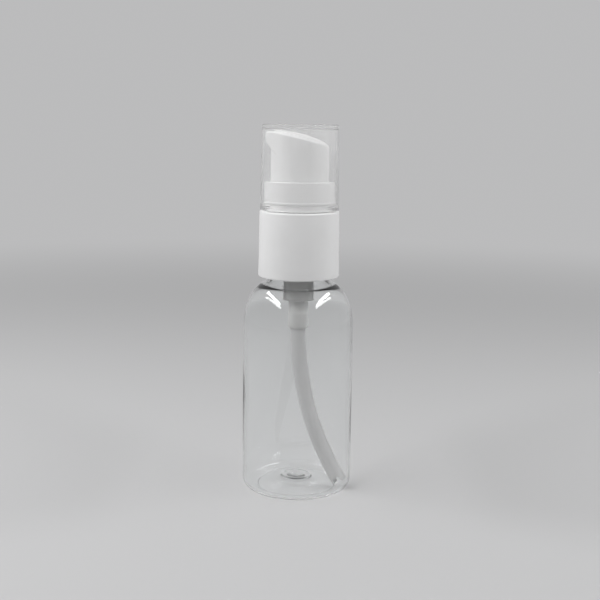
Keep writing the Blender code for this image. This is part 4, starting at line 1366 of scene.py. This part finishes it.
def round_bar(name, radius, start, end, sides=72):
    """A plain cylinder between two points, to cut or join with."""
    start, end = Vector(start), Vector(end)
    bpy.ops.object.select_all(action="DESELECT")
    bpy.ops.mesh.primitive_cylinder_add(
        vertices=sides, radius=radius, depth=(end - start).length, location=(start + end) / 2,
        rotation=(end - start).to_track_quat("Z", "Y").to_euler(),
    )
    return start_from(name)


hollow = spun("head_hollow", [
    (0.0, crown_z + SEAT),
    (HEAD_TOP_R - HEAD_WALL, crown_z + SEAT),
    (HEAD_FOOT_R - HEAD_WALL, head_foot - PAST),
    (0.0, head_foot - PAST),
], ring=False)
bpy.ops.object.select_all(action="DESELECT")
bpy.ops.mesh.primitive_uv_sphere_add(
    segments=128, ring_count=96, radius=CROWN_R,
    location=(-CROWN_OFFSET, 0, crown_z - CROWN_R - DECK),
)
join_or_cut(hollow, [start_from("deck_underside")], "INTERSECT")
post = round_bar("stem_post", SOCKET_R, (0, 0, head_socket_foot), (0, 0, crown_z + PAST))
channel = round_bar(
    "channel_wall", OUTLET_R + CHANNEL_WALL, (0, 0, outlet_z), (-TIP_X, 0, outlet_z)
)
join_or_cut(hollow, [post, channel], "DIFFERENCE")
socket = round_bar("socket_hole", SOCKET_BORE, (0, 0, head_foot), (0, 0, head_socket_top))
riser = round_bar("riser", STEM_BORE, (0, 0, head_foot), (0, 0, outlet_z))
outlet = round_bar("outlet_hole", OUTLET_R, (0, 0, outlet_z), (-TIP_X - PAST, 0, outlet_z))
join_or_cut(actuator, [hollow, socket, riser, outlet], "DIFFERENCE")
hand_over(actuator, WHITE_PLASTIC, "head", "actuator")

# %% [markdown]
# ## The overcap
# A thin hood of clear styrene with a thicker lid. Its wall leans in a little towards the top,
# so that it comes off the mould, and the gate leaves a small round bump inside the lid. A low
# bead inside its mouth snaps over the bead of the guide ring. It is turned like the rest, with
# as many sides as the bottle, because it is clear too.

# %% Turn the overcap
CAP_WALL = 0.65 * MM
CAP_DRAFT = 0.52 * MM
CAP_PLATE = 1.4 * MM
CAP_EDGE = 0.35 * MM
CAP_GATE_R = 2.0 * MM
CAP_GATE_H = 0.3 * MM
CAP_SNAP = 0.3 * MM
cap_foot_r, cap_foot, cap_top = size_of("overcap")
cap_ceiling = cap_top - CAP_PLATE


def cap_inside(z):
    """The inner radius at a height: the wall leans in by its draft."""
    return cap_foot_r - CAP_WALL - CAP_DRAFT * (z - cap_foot) / (cap_top - cap_foot)


catch = bead_z - 1.2 * MM
overcap = spun("clear_hood", rounded([
    (0.0, cap_top),
    (cap_foot_r - CAP_DRAFT, cap_top, CAP_EDGE),
    (cap_foot_r, cap_foot),
    (cap_inside(cap_foot), cap_foot),
    (cap_inside(catch), catch - 0.5 * MM),
    (cap_inside(catch) - CAP_SNAP, catch, 0.3 * MM),
    (cap_inside(catch), catch + 0.5 * MM),
    (cap_inside(cap_ceiling), cap_ceiling, CAP_EDGE),
    (CAP_GATE_R + 0.3 * MM, cap_ceiling, 0.15 * MM),
    (CAP_GATE_R, cap_ceiling - CAP_GATE_H, 0.12 * MM),
    (0.0, cap_ceiling - CAP_GATE_H),
], 6), ring=False, sides=CLEAR_SIDES)
ease_edges(overcap, 0.08 * MM)
hand_over(overcap, HAZY_STYRENE, "hood", "overcap")
